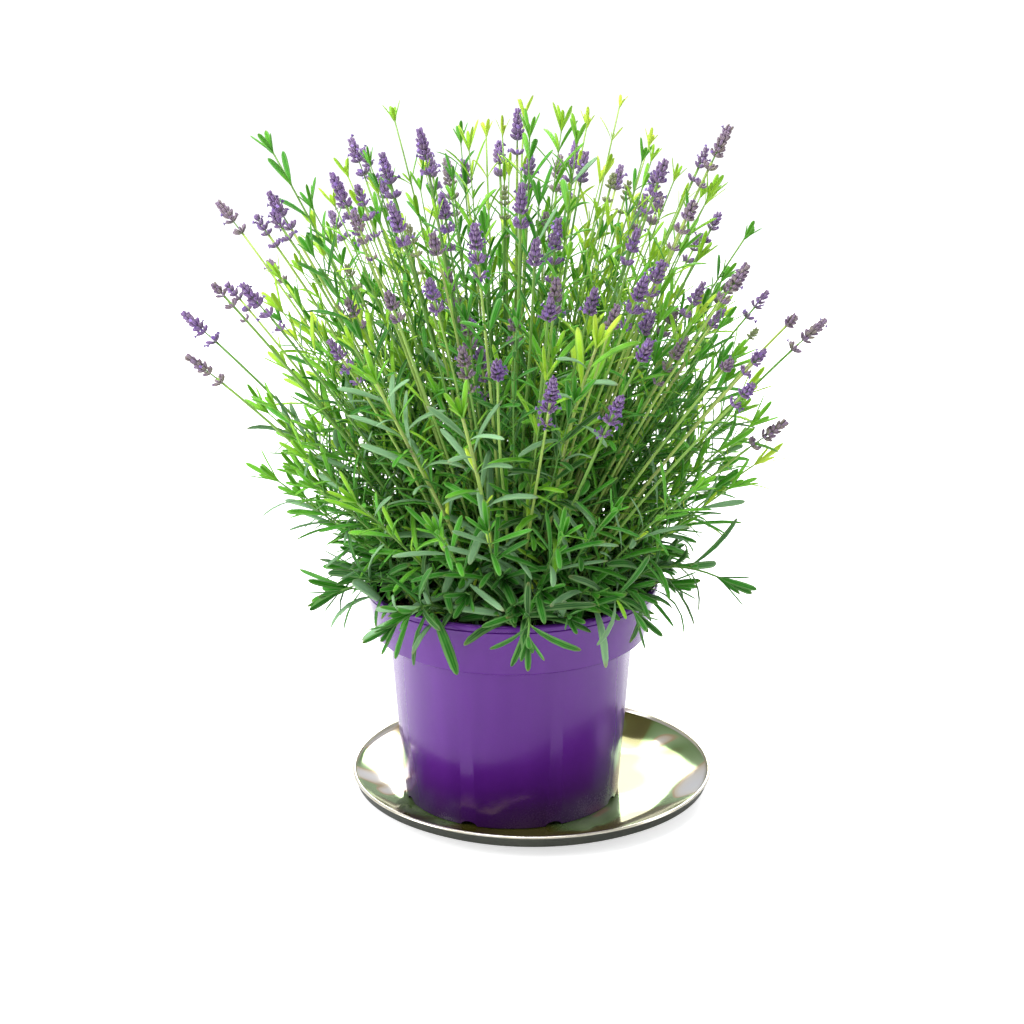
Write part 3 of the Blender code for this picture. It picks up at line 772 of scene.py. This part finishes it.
def fanBow(foot, tip):
    # foot, control point and tip of a stem that leans out like a spoke of a fan
    middle = np.array((mix(foot[0], tip[0], fan["outward"]), mix(foot[1], tip[1], fan["outward"]),
                       mix(foot[2], tip[2], fan["upward"])))
    return foot, middle, tip


def fanFoot(tip):
    share = fan["depth"] / (tip[2] - soilTop + fan["depth"])
    x, y = tip[0] * share, tip[1] * share
    return np.array((x, y, soilHeight(x, y) - 1 * mm))


def bowPlace(bow, share):
    foot, middle, tip = bow
    return mix(mix(foot, middle, share), mix(middle, tip, share), share)


def bowHeading(bow, share):
    foot, middle, tip = bow
    return unit(mix(middle - foot, tip - middle, share))


def sideOf(heading, hint):
    side = unit(hint - heading * np.dot(hint, heading))
    return side, np.cross(heading, side)


def growStem(bundle, bow, footWidth, tipWidth, tone, finish, wobble=(0, 0, 0), endShare=1.0):
    # a square stem with softened corners, swept along its bow
    outward = np.array((bow[2][0], bow[2][1], 0.0)) + 1e-6
    hint = np.cross((0.0, 0.0, 1.0), outward)
    sides, rings = stem["sides"], stem["rings"]
    turns = np.arange(sides) * math.tau / sides
    radii = np.where(np.arange(sides) % 2 == 0, 1.0, stem["flatSide"])
    places = []
    along = []
    for ring in range(rings):
        share = ring / (rings - 1) * endShare
        heading = bowHeading(bow, share)
        side, front = sideOf(heading, hint)
        centre = bowPlace(bow, share) + np.array(wobble) * math.sin(share * math.pi * 2)
        width = mix(footWidth, tipWidth, share) / 2 * radii
        places.append(centre + np.outer(width * np.cos(turns), side) + np.outer(width * np.sin(turns), front))
        along += [share] * sides
    faces = []
    for ring in range(rings - 1):
        for corner in range(sides):
            following = (corner + 1) % sides
            low, high = ring * sides, (ring + 1) * sides
            faces += [low + corner, low + following, high + following, high + corner]
    last = (rings - 1) * sides
    caps = list(range(sides - 1, -1, -1)) + list(range(last, last + sides))
    sizes = np.array([4] * (sides * (rings - 1)) + [sides, sides])
    across = np.tile(np.arange(sides) / sides, rings)
    addShape(bundle, np.concatenate(places), np.array(faces + caps), sizes, finish,
             across, np.array(along), tone)


# limits that leaves and flowers keep to
room = {"beyond": 0.012, "gap": 0.8 * mm}
roomLow = np.array(cadLow) - np.array(cadHigh - cadLow) * room["beyond"]
roomHigh = np.array(cadHigh) + np.array(cadHigh - cadLow) * room["beyond"]


def hasRoom(places):
    # inside the object's box, above the soil, and not in the pot's wall
    if (places < roomLow).any() or (places > roomHigh).any():
        return False
    reach = np.hypot(places[:, 0], places[:, 1])
    height = places[:, 2]
    inner, outer = rimRadius - pot["lipWidth"] - room["gap"], rimRadius + room["gap"]
    inWall = (reach > inner) & (reach < outer) & (height < potHigh.z + room["gap"])
    inSoil = (reach <= inner) & (height < soilTop - 1.5 * mm)
    underBand = (reach < outer + 1 * mm) & (height < pot["bandBase"])
    return not (inWall | inSoil | underBand).any()


# leaves
leaf = {"length": 43 * mm, "width": 4.5 * mm}


def growLeaf(bundle, origin, heading, outward, length, width, opening, bend, tone, finish, twist=0.0):
    # one blade that leaves its stem at the opening angle; turned nearer the stem if it has no room
    for lift in (0.0, 0.25, 0.5, 0.8):
        angle = max(0.15, opening * (1 - lift))
        alongAxis = unit(outward * math.sin(angle) + heading * math.cos(angle))
        sideAxis = unit(np.cross(outward, heading))
        upper = np.cross(sideAxis, alongAxis)
        sideAxis, upper = (sideAxis * math.cos(twist) + upper * math.sin(twist),
                           upper * math.cos(twist) - sideAxis * math.sin(twist))
        size = np.array((width / 2, length, width / 2))
        places = copyPlaces(leafShape, origin, (sideAxis, alongAxis, upper), size, bend * (1 - lift))
        if hasRoom(places[leafShape["along"] > 0.15]):
            addShape(bundle, places, leafShape["corners"], leafShape["sizes"], finish,
                     leafShape["across"], leafShape["along"], tone)
            return True
    return False


leafyShoot = {"stem": 1.9 * mm, "stemTip": 1.1 * mm, "lowOpening": 58, "highOpening": 26,
              "lowBend": 1.05, "highBend": 0.40}


def growShoot(bundle, bow, chance, tone, spacing, leafScale, firstPair=12 * mm, droop=0.0, stemScale=1.0,
              silver=0.12, lighter=0.22, narrow=1.0, stemTone=None):
    # a leafy stem: opposite pairs, each a quarter turn on, short side leaves at some, a tuft at the tip
    run = (np.linalg.norm(bow[1] - bow[0]) + np.linalg.norm(bow[2] - bow[1])
           + np.linalg.norm(bow[2] - bow[0])) / 2
    wobble = np.array([chance.uniform(-1.4, 1.4) * mm for axis in range(3)])
    growStem(bundle, bow, leafyShoot["stem"] * stemScale, leafyShoot["stemTip"] * stemScale,
             min(0.85, 0.25 + 0.6 * tone) if stemTone is None else stemTone, 0, wobble)
    hint = np.cross((0.0, 0.0, 1.0), np.array((bow[2][0], bow[2][1], 0.0)) + 1e-6)
    startTurn = chance.uniform(0, math.pi)
    for pair in range(max(2, int((run - firstPair) / spacing))):
        share = (firstPair + pair * spacing) / run
        heading = bowHeading(bow, share)
        side, front = sideOf(heading, hint)
        centre = bowPlace(bow, share) + wobble * math.sin(share * math.pi * 2)
        for half in (0, 1):
            turn = startTurn + pair * math.pi / 2 + half * math.pi + chance.uniform(-0.3, 0.3)
            outward = side * math.cos(turn) + front * math.sin(turn)
            length = leaf["length"] * leafScale * (1.08 - 0.42 * share) * chance.uniform(0.75, 1.18)
            width = leaf["width"] * leafScale * narrow * chance.uniform(0.8, 1.12) * (1.0 - 0.15 * share)
            opening = mix(leafyShoot["lowOpening"], leafyShoot["highOpening"], share)
            opening += chance.uniform(-12, 12)
            bend = mix(leafyShoot["lowBend"], leafyShoot["highBend"], share)
            bend = bend + chance.uniform(-0.4, 0.4) + droop
            # leaves higher up a shoot are lighter: partly young growth, partly painted backlight at the top
            shade = tone + lighter * share + chance.uniform(-0.13, 0.13)
            if chance.random() < silver:
                shade = -chance.uniform(0.5, 1.0)
            growLeaf(bundle, centre, heading, outward, length, width, math.radians(opening), bend,
                     shade, 1, chance.uniform(-0.5, 0.5))
            if chance.random() < 0.35:
                growLeaf(bundle, centre + heading * mm, heading, outward, length * chance.uniform(0.3, 0.5),
                         width * 0.62, math.radians(opening * 0.5), bend * 0.5,
                         min(1.0, abs(shade) + 0.12), 1, chance.uniform(-0.6, 0.6))
    heading = bowHeading(bow, 1.0)
    side, front = sideOf(heading, hint)
    # the tuft at the tip is lighter still: partly young growth, partly painted backlight
    for index in range(6):
        turn = index * math.pi / 2 + (index // 4) * 0.8 + startTurn
        outward = side * math.cos(turn) + front * math.sin(turn)
        growLeaf(bundle, bow[2] - heading * mm * (1 + index // 4), heading, outward,
                 leaf["length"] * leafScale * mix(0.55, 0.32, index / 5) * chance.uniform(0.85, 1.15),
                 leaf["width"] * 0.7 * leafScale * narrow, math.radians(24 - index * 2), 0.12,
                 min(1.0, abs(tone) + lighter * 1.4), 1)


# flower spikes
spike = {"calyxLength": 6.2 * mm, "calyxWidth": 2.5 * mm, "fewest": 5, "most": 8, "levels": 8,
         "lowLean": 56, "highLean": 16, "petalSize": 1.8 * mm, "whorlDrop": 9 * mm,
         "framedHead": 18 * mm, "framedSize": 0.80, "wholeLength": 26 * mm}
calyxTones = {"violet": (0.60, 1.0), "green": (0.0, 0.14), "faded": (0.30, 0.60)}
openFlowers = {"violet": 0.18, "green": 0.0, "faded": 0.04}


def growWhorl(bundle, centre, heading, hint, count, lean, scale, kind, chance, openShare, curl=-0.2):
    side, front = sideOf(heading, hint)
    startTurn = chance.uniform(0, math.tau)
    for index in range(count):
        turn = startTurn + index * math.tau / count + chance.uniform(-0.2, 0.2)
        outward = side * math.cos(turn) + front * math.sin(turn)
        angle = math.radians(lean + chance.uniform(-9, 9))
        axis = unit(heading * math.cos(angle) + outward * math.sin(angle))
        width = unit(np.cross(outward, heading))
        length = spike["calyxLength"] * scale * chance.uniform(0.88, 1.12)
        size = np.array((spike["calyxWidth"] / 2 * scale, length, spike["calyxWidth"] / 2 * scale))
        root = centre + outward * 0.8 * mm
        places = copyPlaces(calyxShape, root, (width, axis, np.cross(width, axis)), size, curl)
        tone = chance.uniform(*calyxTones[kind])
        if not hasRoom(places):
            continue
        addShape(bundle, places, calyxShape["corners"], calyxShape["sizes"], 0,
                 calyxShape["across"], calyxShape["along"], tone)
        if chance.random() < openShare:
            tip = root + axis * length * 0.9
            petal = unit(axis + outward * 0.5)
            size = np.array((1.0, 1.5, 1.0)) * spike["petalSize"] * chance.uniform(0.75, 1.1) * scale
            places = copyPlaces(petalShape, tip, (width, petal, np.cross(width, petal)), size)
            if hasRoom(places):
                addShape(bundle, places, petalShape["corners"], petalShape["sizes"], 1,
                         petalShape["across"], petalShape["along"], chance.random())


def growSpike(bundle, base, top, kind, chance, loneWhorls, stemHeading, scale=1.0):
    # whorls of calyces, wide and leaning out below, small and upright at the top
    heading = unit(top - base)
    length = np.linalg.norm(top - base)
    hint = np.array((heading[1], -heading[0], 0.2))
    levels = max(4, round(spike["levels"] * length / spike["wholeLength"]))
    size = (0.72 if kind == "green" else 1.0) * scale
    reach = length - spike["calyxLength"] * 0.75 * size
    for level in range(levels):
        share = level / (levels - 1)
        bulge = math.sin(math.pi * (0.28 + 0.62 * share))
        count = round(mix(spike["most"], spike["fewest"], share ** 1.5))
        whorlSize = size * mix(0.80, 1.0, bulge) * chance.uniform(0.94, 1.06)
        lean = mix(spike["lowLean"], spike["highLean"], share ** 0.8)
        growWhorl(bundle, base + heading * reach * share, heading, hint, count, lean, whorlSize, kind, chance,
                  openFlowers[kind] * (1.2 - share))
    for drop in range(loneWhorls):
        lower = base - stemHeading * spike["whorlDrop"] * (1 + drop * 1.3)
        growWhorl(bundle, lower, heading, hint, 8 - drop * 2, 66, size * (1.1 - drop * 0.25), kind, chance,
                  openFlowers[kind] * 2, -0.7)


def nodePlaces(name):
    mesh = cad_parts[name].data
    places = np.empty(len(mesh.vertices) * 3)
    mesh.vertices.foreach_get("co", places)
    return places.reshape(-1, 3)


def footAndFar(name):
    # middle of a node's foot on the soil, and the middle of its far end
    places = nodePlaces(name)
    foot = places[places[:, 2] < places[:, 2].min() + 0.2 * mm].mean(axis=0)
    onSoil = np.abs(places[:, 2] - soilTop) < 0.6 * mm
    if onSoil.any():
        foot = places[onSoil].mean(axis=0)
    distance = np.linalg.norm(places - foot, axis=1)
    return foot, places[distance > distance.max() - 0.4 * mm].mean(axis=0)


def fullTip(percent):
    east, north, height = (share / 100 for share in percent)
    return np.array((east * plantSpread, north * plantSpread, soilTop + height * plantHeight))


framedKinds = ["violet", "faded", "violet", "faded", "violet", "violet", "violet", "violet", "violet",
               "faded", "violet", "violet", "violet", "violet", "violet", "faded", "faded", "faded", "faded"]


def makeFramedFlowers():
    # the flowers that the frame already places, each stem and spike in its own piece
    for index, kind in enumerate(framedKinds):
        chance = random.Random(100 + index)
        number = "%02d" % (index + 1)
        foot, tip = footAndFar("flower_stem_" + number)
        spikePlaces = nodePlaces("flower_spike_" + number)
        top = spikePlaces[np.linalg.norm(spikePlaces - tip, axis=1).argmax()]
        bow = fanBow(foot, tip)
        stems = newBundle()
        growStem(stems, bow, 2.1 * mm, 1.6 * mm, chance.uniform(0.25, 0.85), 0,
                 [chance.uniform(-0.6, 0.6) * mm for axis in range(3)])
        growStem(stems, (tip, mix(tip, top, 0.5), mix(tip, top, 0.9)), 1.1 * mm, 0.6 * mm, 0.4, 0)
        for pair in range(2):
            share = 0.16 + 0.17 * pair
            heading = bowHeading(bow, share)
            side, front = sideOf(heading, np.array((foot[1], -foot[0], 0.0)) + 1e-6)
            for half in (1, -1):
                outward = (side if pair == 0 else front) * half
                growLeaf(stems, bowPlace(bow, share), heading, outward,
                         leaf["length"] * chance.uniform(0.6, 0.95), leaf["width"] * 0.8,
                         math.radians(chance.uniform(28, 48)), 0.4,
                         chance.uniform(0.3, 0.7), 1, chance.uniform(-0.4, 0.4))
        makePiece("flowerStem" + number, stems, [stemGreen, leafGreen],
                  ["flower_stem_" + number])
        heads = newBundle()
        wholeLength = np.linalg.norm(top - tip)
        headLength = min(wholeLength, spike["framedHead"] * chance.uniform(0.85, 1.15))
        neck = mix(top, tip, headLength / wholeLength)
        growSpike(heads, neck, top, kind, chance, chance.choice((1, 1, 2)), unit(top - tip),
                  spike["framedSize"])
        makePiece("flowerSpike" + number, heads, [calyxViolet, petalViolet],
                  ["flower_spike_" + number])


makeFramedFlowers()
print("framed flowers made")

# more flowers: east and north of each tip in percent of the spread, height in percent of the plant's
moreFlowers = {
    "violet": [
        (-77, 5, 80), (-70, -15, 83), (-88, 15, 65), (-55, 29, 85), (-45, -15, 88), (-47, 44, 90),
        (-39, 10, 92), (-20, -29, 88), (-15, 39, 88), (-23, -49, 74), (-52, -39, 61), (-9, -29, 58),
        (6, 29, 90), (23, 24, 91), (7, -44, 81), (14, -10, 81), (37, -19, 80), (45, -15, 93),
        (59, 10, 93), (65, 29, 78), (44, -29, 75), (38, -44, 74), (57, -15, 69), (11, -53, 71),
        (24, -39, 71), (41, -29, 65), (62, -24, 65), (39, -53, 63), (73, -39, 59), (-4, -58, 60),
        (31, -58, 53), (69, -49, 54), (12, -61, 57), (-27, 66, 87), (-4, 70, 89), (36, 68, 84),
        (-43, 66, 82), (-59, 60, 75), (62, 60, 70), (82, 40, 60)],
    "green": [
        (-49, -10, 72), (-30, -19, 81), (-33, 19, 74), (-2, 15, 85), (31, 10, 88), (37, 34, 84),
        (77, 19, 55)],
    "faded": [
        (-87, -24, 70), (-45, -34, 85), (-22, -44, 82), (-19, -15, 72), (-35, -44, 71), (-48, -24, 67),
        (-54, 10, 61), (-14, -49, 61), (-13, -34, 65), (11, 29, 78), (41, 19, 82), (52, -34, 87),
        (70, 19, 66), (13, -49, 74), (30, -49, 69), (50, 0, 62), (63, 24, 56), (51, -29, 60),
        (63, -44, 58), (84, -19, 63), (1, -19, 64), (16, 70, 86), (49, 62, 78), (-78, 46, 66)]}


headLengths = {"violet": 17 * mm, "green": 11 * mm, "faded": 14 * mm}


def makeMoreFlowers():
    # grouped by kind and by side of the plant, so that a piece holds a bunch
    for kind, tips in moreFlowers.items():
        bunches = {}
        for index, percent in enumerate(tips):
            chance = random.Random(500 + index + len(kind) * 50)
            top = fullTip(percent)
            foot = fanFoot(top)
            bow = fanBow(foot, top)
            flank = 0.78 if abs(percent[0] - 5) > 48 else 1.0         # smaller heads out on the flanks
            length = headLengths[kind] * flank * chance.uniform(0.78, 1.18)
            heading = bowHeading(bow, 0.95)
            base = top - heading * length
            bow = fanBow(foot, base)
            place = ("left" if percent[0] < -20 else "right" if percent[0] > 30 else "middle")
            stems, heads = bunches.setdefault(place, (newBundle(), newBundle()))
            growStem(stems, bow, 2.2 * mm, 1.6 * mm, chance.choice((0.3, 0.5, 0.62, 0.72, 0.80, 0.88)), 0,
                     [chance.uniform(-1.5, 1.5) * mm for axis in range(3)])
            growStem(stems, (base, mix(base, top, 0.5), mix(base, top, 0.9)), 1.0 * mm, 0.6 * mm, 0.4, 0)
            for pair in range(chance.choice((1, 2, 3))):
                share = 0.18 + 0.15 * pair + chance.uniform(0, 0.06)
                heading = bowHeading(bow, share)
                side, front = sideOf(heading, np.array((foot[1], -foot[0], 0.0)) + 1e-6)
                for half in (1, -1):
                    outward = unit((side if pair % 2 == 0 else front) * half)
                    growLeaf(stems, bowPlace(bow, share), heading, outward,
                             leaf["length"] * chance.uniform(0.6, 1.05),
                             leaf["width"] * chance.uniform(0.7, 0.95),
                             math.radians(chance.uniform(24, 50)), chance.uniform(0.1, 0.6),
                             chance.uniform(0.3, 0.85), 1, chance.uniform(-0.5, 0.5))
            growSpike(heads, base, top, kind, chance, chance.choice((0, 1, 1, 2)), bowHeading(bow, 0.97),
                      0.8 * mix(1.0, flank, 0.6))
        for place, (stems, heads) in bunches.items():
            makePiece(kind + "Stems_" + place, stems, [stemGreen, leafGreen])
            makePiece(kind + "Spikes_" + place, heads, [calyxViolet, petalViolet])


makeMoreFlowers()
print("more flowers made")

# leafy shoots that the frame already places: tone, share of silvery leaves, stem thickness, leaf size,
# leaf breadth, mm between pairs
# the last seven shoots, low in the plant, take tones near 0: painted shade
framedLooks = [(0.42, 0.85, 1.75, 1.05, 1.1, 15), (0.40, 0.90, 1.85, 1.1, 1.1, 16),
               (0.60, 0.70, 1.85, 1.1, 1.1, 15), (0.40, 0.2, 1.0, 1.0, 1.0, 10.5),
               (0.80, 0.15, 1.0, 1.15, 0.7, 17), (0.60, 0.0, 1.0, 0.9, 1.1, 12),
               (0.80, 0.0, 1.0, 0.8, 1.2, 13), (0.75, 0.0, 1.0, 0.8, 1.2, 13),
               (0.60, 0.0, 1.0, 0.9, 1.1, 12), (0.35, 0.2, 1.0, 1.0, 1.0, 12),
               (0.30, 0.5, 1.0, 1.0, 1.0, 12), (0.04, 0.1, 1.0, 1.10, 1.1, 12),
               (0.06, 0.4, 1.0, 1.1, 1.0, 11), (0.05, 0.0, 1.2, 1.15, 1.1, 12),
               (0.02, 0.1, 1.0, 1.1, 1.1, 13), (0.08, 0.0, 1.2, 1.20, 1.1, 12),
               (0.05, 0.0, 1.0, 1.1, 1.0, 11), (0.04, 0.2, 1.0, 1.1, 1.1, 12)]


def makeFramedShoots():
    for index, (tone, silver, thick, size, breadth, spacing) in enumerate(framedLooks):
        chance = random.Random(900 + index)
        number = "%02d" % (index + 1)
        foot, far = footAndFar("leafy_shoot_" + number)
        length = np.linalg.norm(far - foot)
        tip = foot + (far - foot) * (1 - 0.018 / length)
        overRim = tip[2] < potHigh.z + 30 * mm
        bow = fanBow(foot, tip)
        if overRim:
            middle = mix(foot, tip, 0.25)
            middle[2] = tip[2] + 16 * mm
            bow = (foot, middle, tip)
        shoots = newBundle()
        palest = thick > 1.5
        growShoot(shoots, bow, chance, tone, spacing * mm, size, droop=0.35 if overRim or palest else 0.0,
                  stemScale=thick, silver=silver, lighter=0.06 if overRim else 0.22, narrow=breadth,
                  stemTone=0.88 if palest else None)
        makePiece("leafyShoot" + number, shoots, [stemGreen, leafGreen],
                  ["leafy_shoot_" + number])


makeFramedShoots()
print("framed shoots made")

crown = {"shoots": 112, "lowest": 0.26, "highest": 0.60, "widest": 1.12, "sectors": 6}
fine = {"shoots": 170, "lowest": 0.50, "highest": 0.90, "widest": 0.66, "sectors": 6, "back": 0.10}


def growRound(bunches, settings, index, chance):
    # the bow of one shoot of a round stand, and the bunch of its sector
    share = (index + 0.5) / settings["shoots"]
    turn = index * goldenTurn + 0.4
    height = mix(settings["highest"], settings["lowest"], share) * plantHeight * chance.uniform(0.80, 1.12)
    reach = settings["widest"] * math.sqrt(share) * (height + fan["depth"])
    tip = np.array((reach * math.cos(turn), reach * 0.82 * math.sin(turn), soilTop + height))
    sector = int((turn % math.tau) / (math.tau / settings["sectors"])) + 1
    return fanBow(fanFoot(tip), tip), bunches.setdefault(sector, newBundle()), share, math.sin(turn)


def makeCrownShoots():
    # upright in the middle, shorter and leaning further out towards the rim
    bunches = {}
    for index in range(crown["shoots"]):
        chance = random.Random(2000 + index)
        bow, bundle, share, north = growRound(bunches, crown, index, chance)
        if north < -0.4 and 0.18 < share < 0.80:      # thinner in front, where the thick stems show
            continue
        # painted backlight: shoots at the back get a lighter tone; the tall middle ones a little lighter too,
        # partly young growth and partly painted light from above
        tone = chance.uniform(0.08, 0.42) + (0.22 if north > 0.2 else 0.0) + 0.12 * (1 - share)
        growShoot(bundle, bow, chance, tone, 11 * mm, chance.uniform(0.85, 1.1), silver=0.22)
    for sector, bundle in sorted(bunches.items()):
        makePiece("crownShoots_%d" % sector, bundle, [stemGreen, leafGreen])


makeCrownShoots()
print("crown shoots made")


def makeFineShoots():
    # tall thin young shoots between the flower stems, yellow-green towards their tips, partly young growth
    # and partly painted backlight; shoots at the back get a lighter tone as painted backlight
    bunches = {}
    for index in range(fine["shoots"]):
        chance = random.Random(2500 + index)
        bow, bundle, _, north = growRound(bunches, fine, index, chance)
        if north < -0.3 and index % 3 > 0:            # thinner here too, where the flower stems show
            continue
        tone = chance.choice((0.06, 0.16, 0.34, 0.48, 0.62)) + chance.uniform(-0.06, 0.06)
        # painted backlight: the tone rises towards the back of the plant
        tone = tone + fine["back"] * north
        firstPair = np.linalg.norm(bow[2] - bow[0]) * chance.uniform(0.30, 0.50)
        growShoot(bundle, bow, chance, tone, chance.uniform(13, 22) * mm, chance.uniform(0.55, 0.95),
                  firstPair, stemScale=0.8, silver=0.05, lighter=0.26, narrow=chance.uniform(0.85, 1.35))
    for sector, bundle in sorted(bunches.items()):
        makePiece("fineShoots_%d" % sector, bundle, [stemGreen, leafGreen])


makeFineShoots()
print("fine shoots made")

lowGrowth = {"tufts": 48, "innermost": 16 * mm, "outermost": 82 * mm, "sectors": 4}


def makeLowGrowth():
    # short shoots that hide most of the soil, the outer ones hanging over the lip
    bunches = {}
    for index in range(lowGrowth["tufts"]):
        chance = random.Random(3000 + index)
        share = (index + 0.5) / lowGrowth["tufts"]
        turn = index * goldenTurn
        reach = mix(lowGrowth["innermost"], lowGrowth["outermost"], math.sqrt(share))
        outward = np.array((math.cos(turn), math.sin(turn), 0.0))
        foot = outward * reach
        foot[2] = soilHeight(foot[0], foot[1]) - 1 * mm
        tip = foot + outward * mix(8, 24, share) * mm + np.array((0, 0, mix(46, 22, share) * mm))
        tip = tip + np.array((chance.uniform(-8, 8), chance.uniform(-8, 8), 0)) * mm
        middle = mix(foot, tip, 0.3)
        middle[2] = tip[2]
        sector = int((turn % math.tau) / (math.tau / lowGrowth["sectors"])) + 1
        bundle = bunches.setdefault(sector, newBundle())
        # their tones are kept dark: painted shade low in the plant
        growShoot(bundle, (foot, middle, tip), chance, chance.uniform(0.0, 0.24), chance.uniform(9, 13) * mm,
                  chance.uniform(0.95, 1.45), 8 * mm, mix(0.1, 0.6, share), silver=0.2, lighter=0.12,
                  narrow=1.15)
    for sector, bundle in sorted(bunches.items()):
        makePiece("lowGrowth_%d" % sector, bundle, [stemGreen, leafGreen])


makeLowGrowth()
print("low growth made")

# tall stems with a few broad pairs high up: tip as for the flowers, tone, first pair's share, leaf size
# their tones are lighter towards the back: painted backlight
tallLeafy = [((-71, 2, 93), 0.28, 0.62, 0.78), ((-36, 30, 97), 0.62, 0.70, 0.62),
             ((4, 40, 97), 0.80, 0.72, 0.62), ((24, 50, 94), 0.88, 0.66, 0.58),
             ((34, 42, 99), 0.85, 0.70, 0.52), ((-8, 52, 92), 0.80, 0.66, 0.60),
             ((44, 52, 90), 0.84, 0.62, 0.55), ((-52, 46, 84), 0.66, 0.58, 0.62),
             ((-62, 38, 74), 0.74, 0.55, 0.66), ((72, 18, 74), 0.34, 0.60, 0.62),
             ((60, 42, 80), 0.60, 0.60, 0.56)]


def makeTallLeafy():
    bundle = newBundle()
    for index, (percent, tone, firstShare, size) in enumerate(tallLeafy):
        chance = random.Random(4000 + index)
        tip = fullTip(percent)
        bow = fanBow(fanFoot(tip), tip)
        firstPair = np.linalg.norm(bow[2] - bow[0]) * firstShare
        growShoot(bundle, bow, chance, tone, 24 * mm, size, firstPair, stemScale=1.05, silver=0.0,
                  lighter=0.12, narrow=1.45)
    makePiece("tallLeafyStems", bundle, [stemGreen, leafGreen])


makeTallLeafy()
print("tall leafy stems made")

# floor, backdrop and light
studio = {"floorSize": 40, "sky": (0.97, 0.98, 1.0), "skyStrength": 0.52, "floorGlow": 0.64}


def addStage():
    clearSelection()
    bpy.ops.mesh.primitive_plane_add(size=studio["floorSize"], location=(0, 0, -0.0002))
    floor = bpy.context.object
    floor.name = "floor"
    material, nodes, links = newMaterial("paleFloor")
    shader = nodes["Principled BSDF"]
    place = nodes.new("ShaderNodeTexCoord").outputs["Object"]
    value, _ = addMottle(nodes, links, place, 1.5, 60, 0.3)
    pale = addRamp(nodes, [(0.3, (0.86, 0.86, 0.86)), (0.7, (0.90, 0.90, 0.90))])
    links.new(value, pale.inputs[0])
    links.new(pale.outputs[0], shader.inputs["Base Color"])
    shader.inputs["Roughness"].default_value = 0.7
    shader.inputs["Specular IOR Level"].default_value = 0.1
    # lifts the floor to white in view only
    seen = nodes.new("ShaderNodeLightPath").outputs["Is Camera Ray"]
    glow = addMath(nodes, links, "MULTIPLY", seen, studio["floorGlow"])
    links.new(glow, shader.inputs["Emission Strength"])
    shader.inputs["Emission Color"].default_value = (1, 1, 1, 1)
    floor.data.materials.append(material)


def addLight(name, place, target, size, power, colour=(1, 1, 1)):
    bpy.ops.object.light_add(type="AREA", location=place)
    lamp = bpy.context.object
    lamp.name = name
    lamp.data.shape = "RECTANGLE"
    lamp.data.size, lamp.data.size_y = size
    lamp.data.energy = power
    lamp.data.color = colour
    lamp.rotation_euler = (Vector(target) - Vector(place)).to_track_quat("-Z", "Y").to_euler()


def addLights():
    world = bpy.data.worlds.new("studio")
    bpy.context.scene.world = world
    world.use_nodes = True
    nodes, links = world.node_tree.nodes, world.node_tree.links
    sky = nodes["Background"]
    sky.inputs[0].default_value = (*studio["sky"], 1)
    seen = nodes.new("ShaderNodeLightPath").outputs["Is Camera Ray"]
    links.new(addRange(nodes, links, seen, 0, 1, studio["skyStrength"], 1.05), sky.inputs[1])
    middle = (0, 0, 0.2)
    addLight("leftWindow", (-1.5, -0.5, 0.7), middle, (0.8, 1.2), 23)
    addLight("rightWindow", (1.6, -0.2, 0.6), middle, (0.6, 1.0), 7)
    addLight("topLight", (-0.2, -0.1, 1.8), middle, (1.0, 1.0), 35)
    addLight("backLight", (0.3, 1.6, 1.0), middle, (1.6, 0.8), 27)


addStage()
addLights()
bpy.context.scene.view_settings.view_transform = "Standard"
print("stage and lights set")
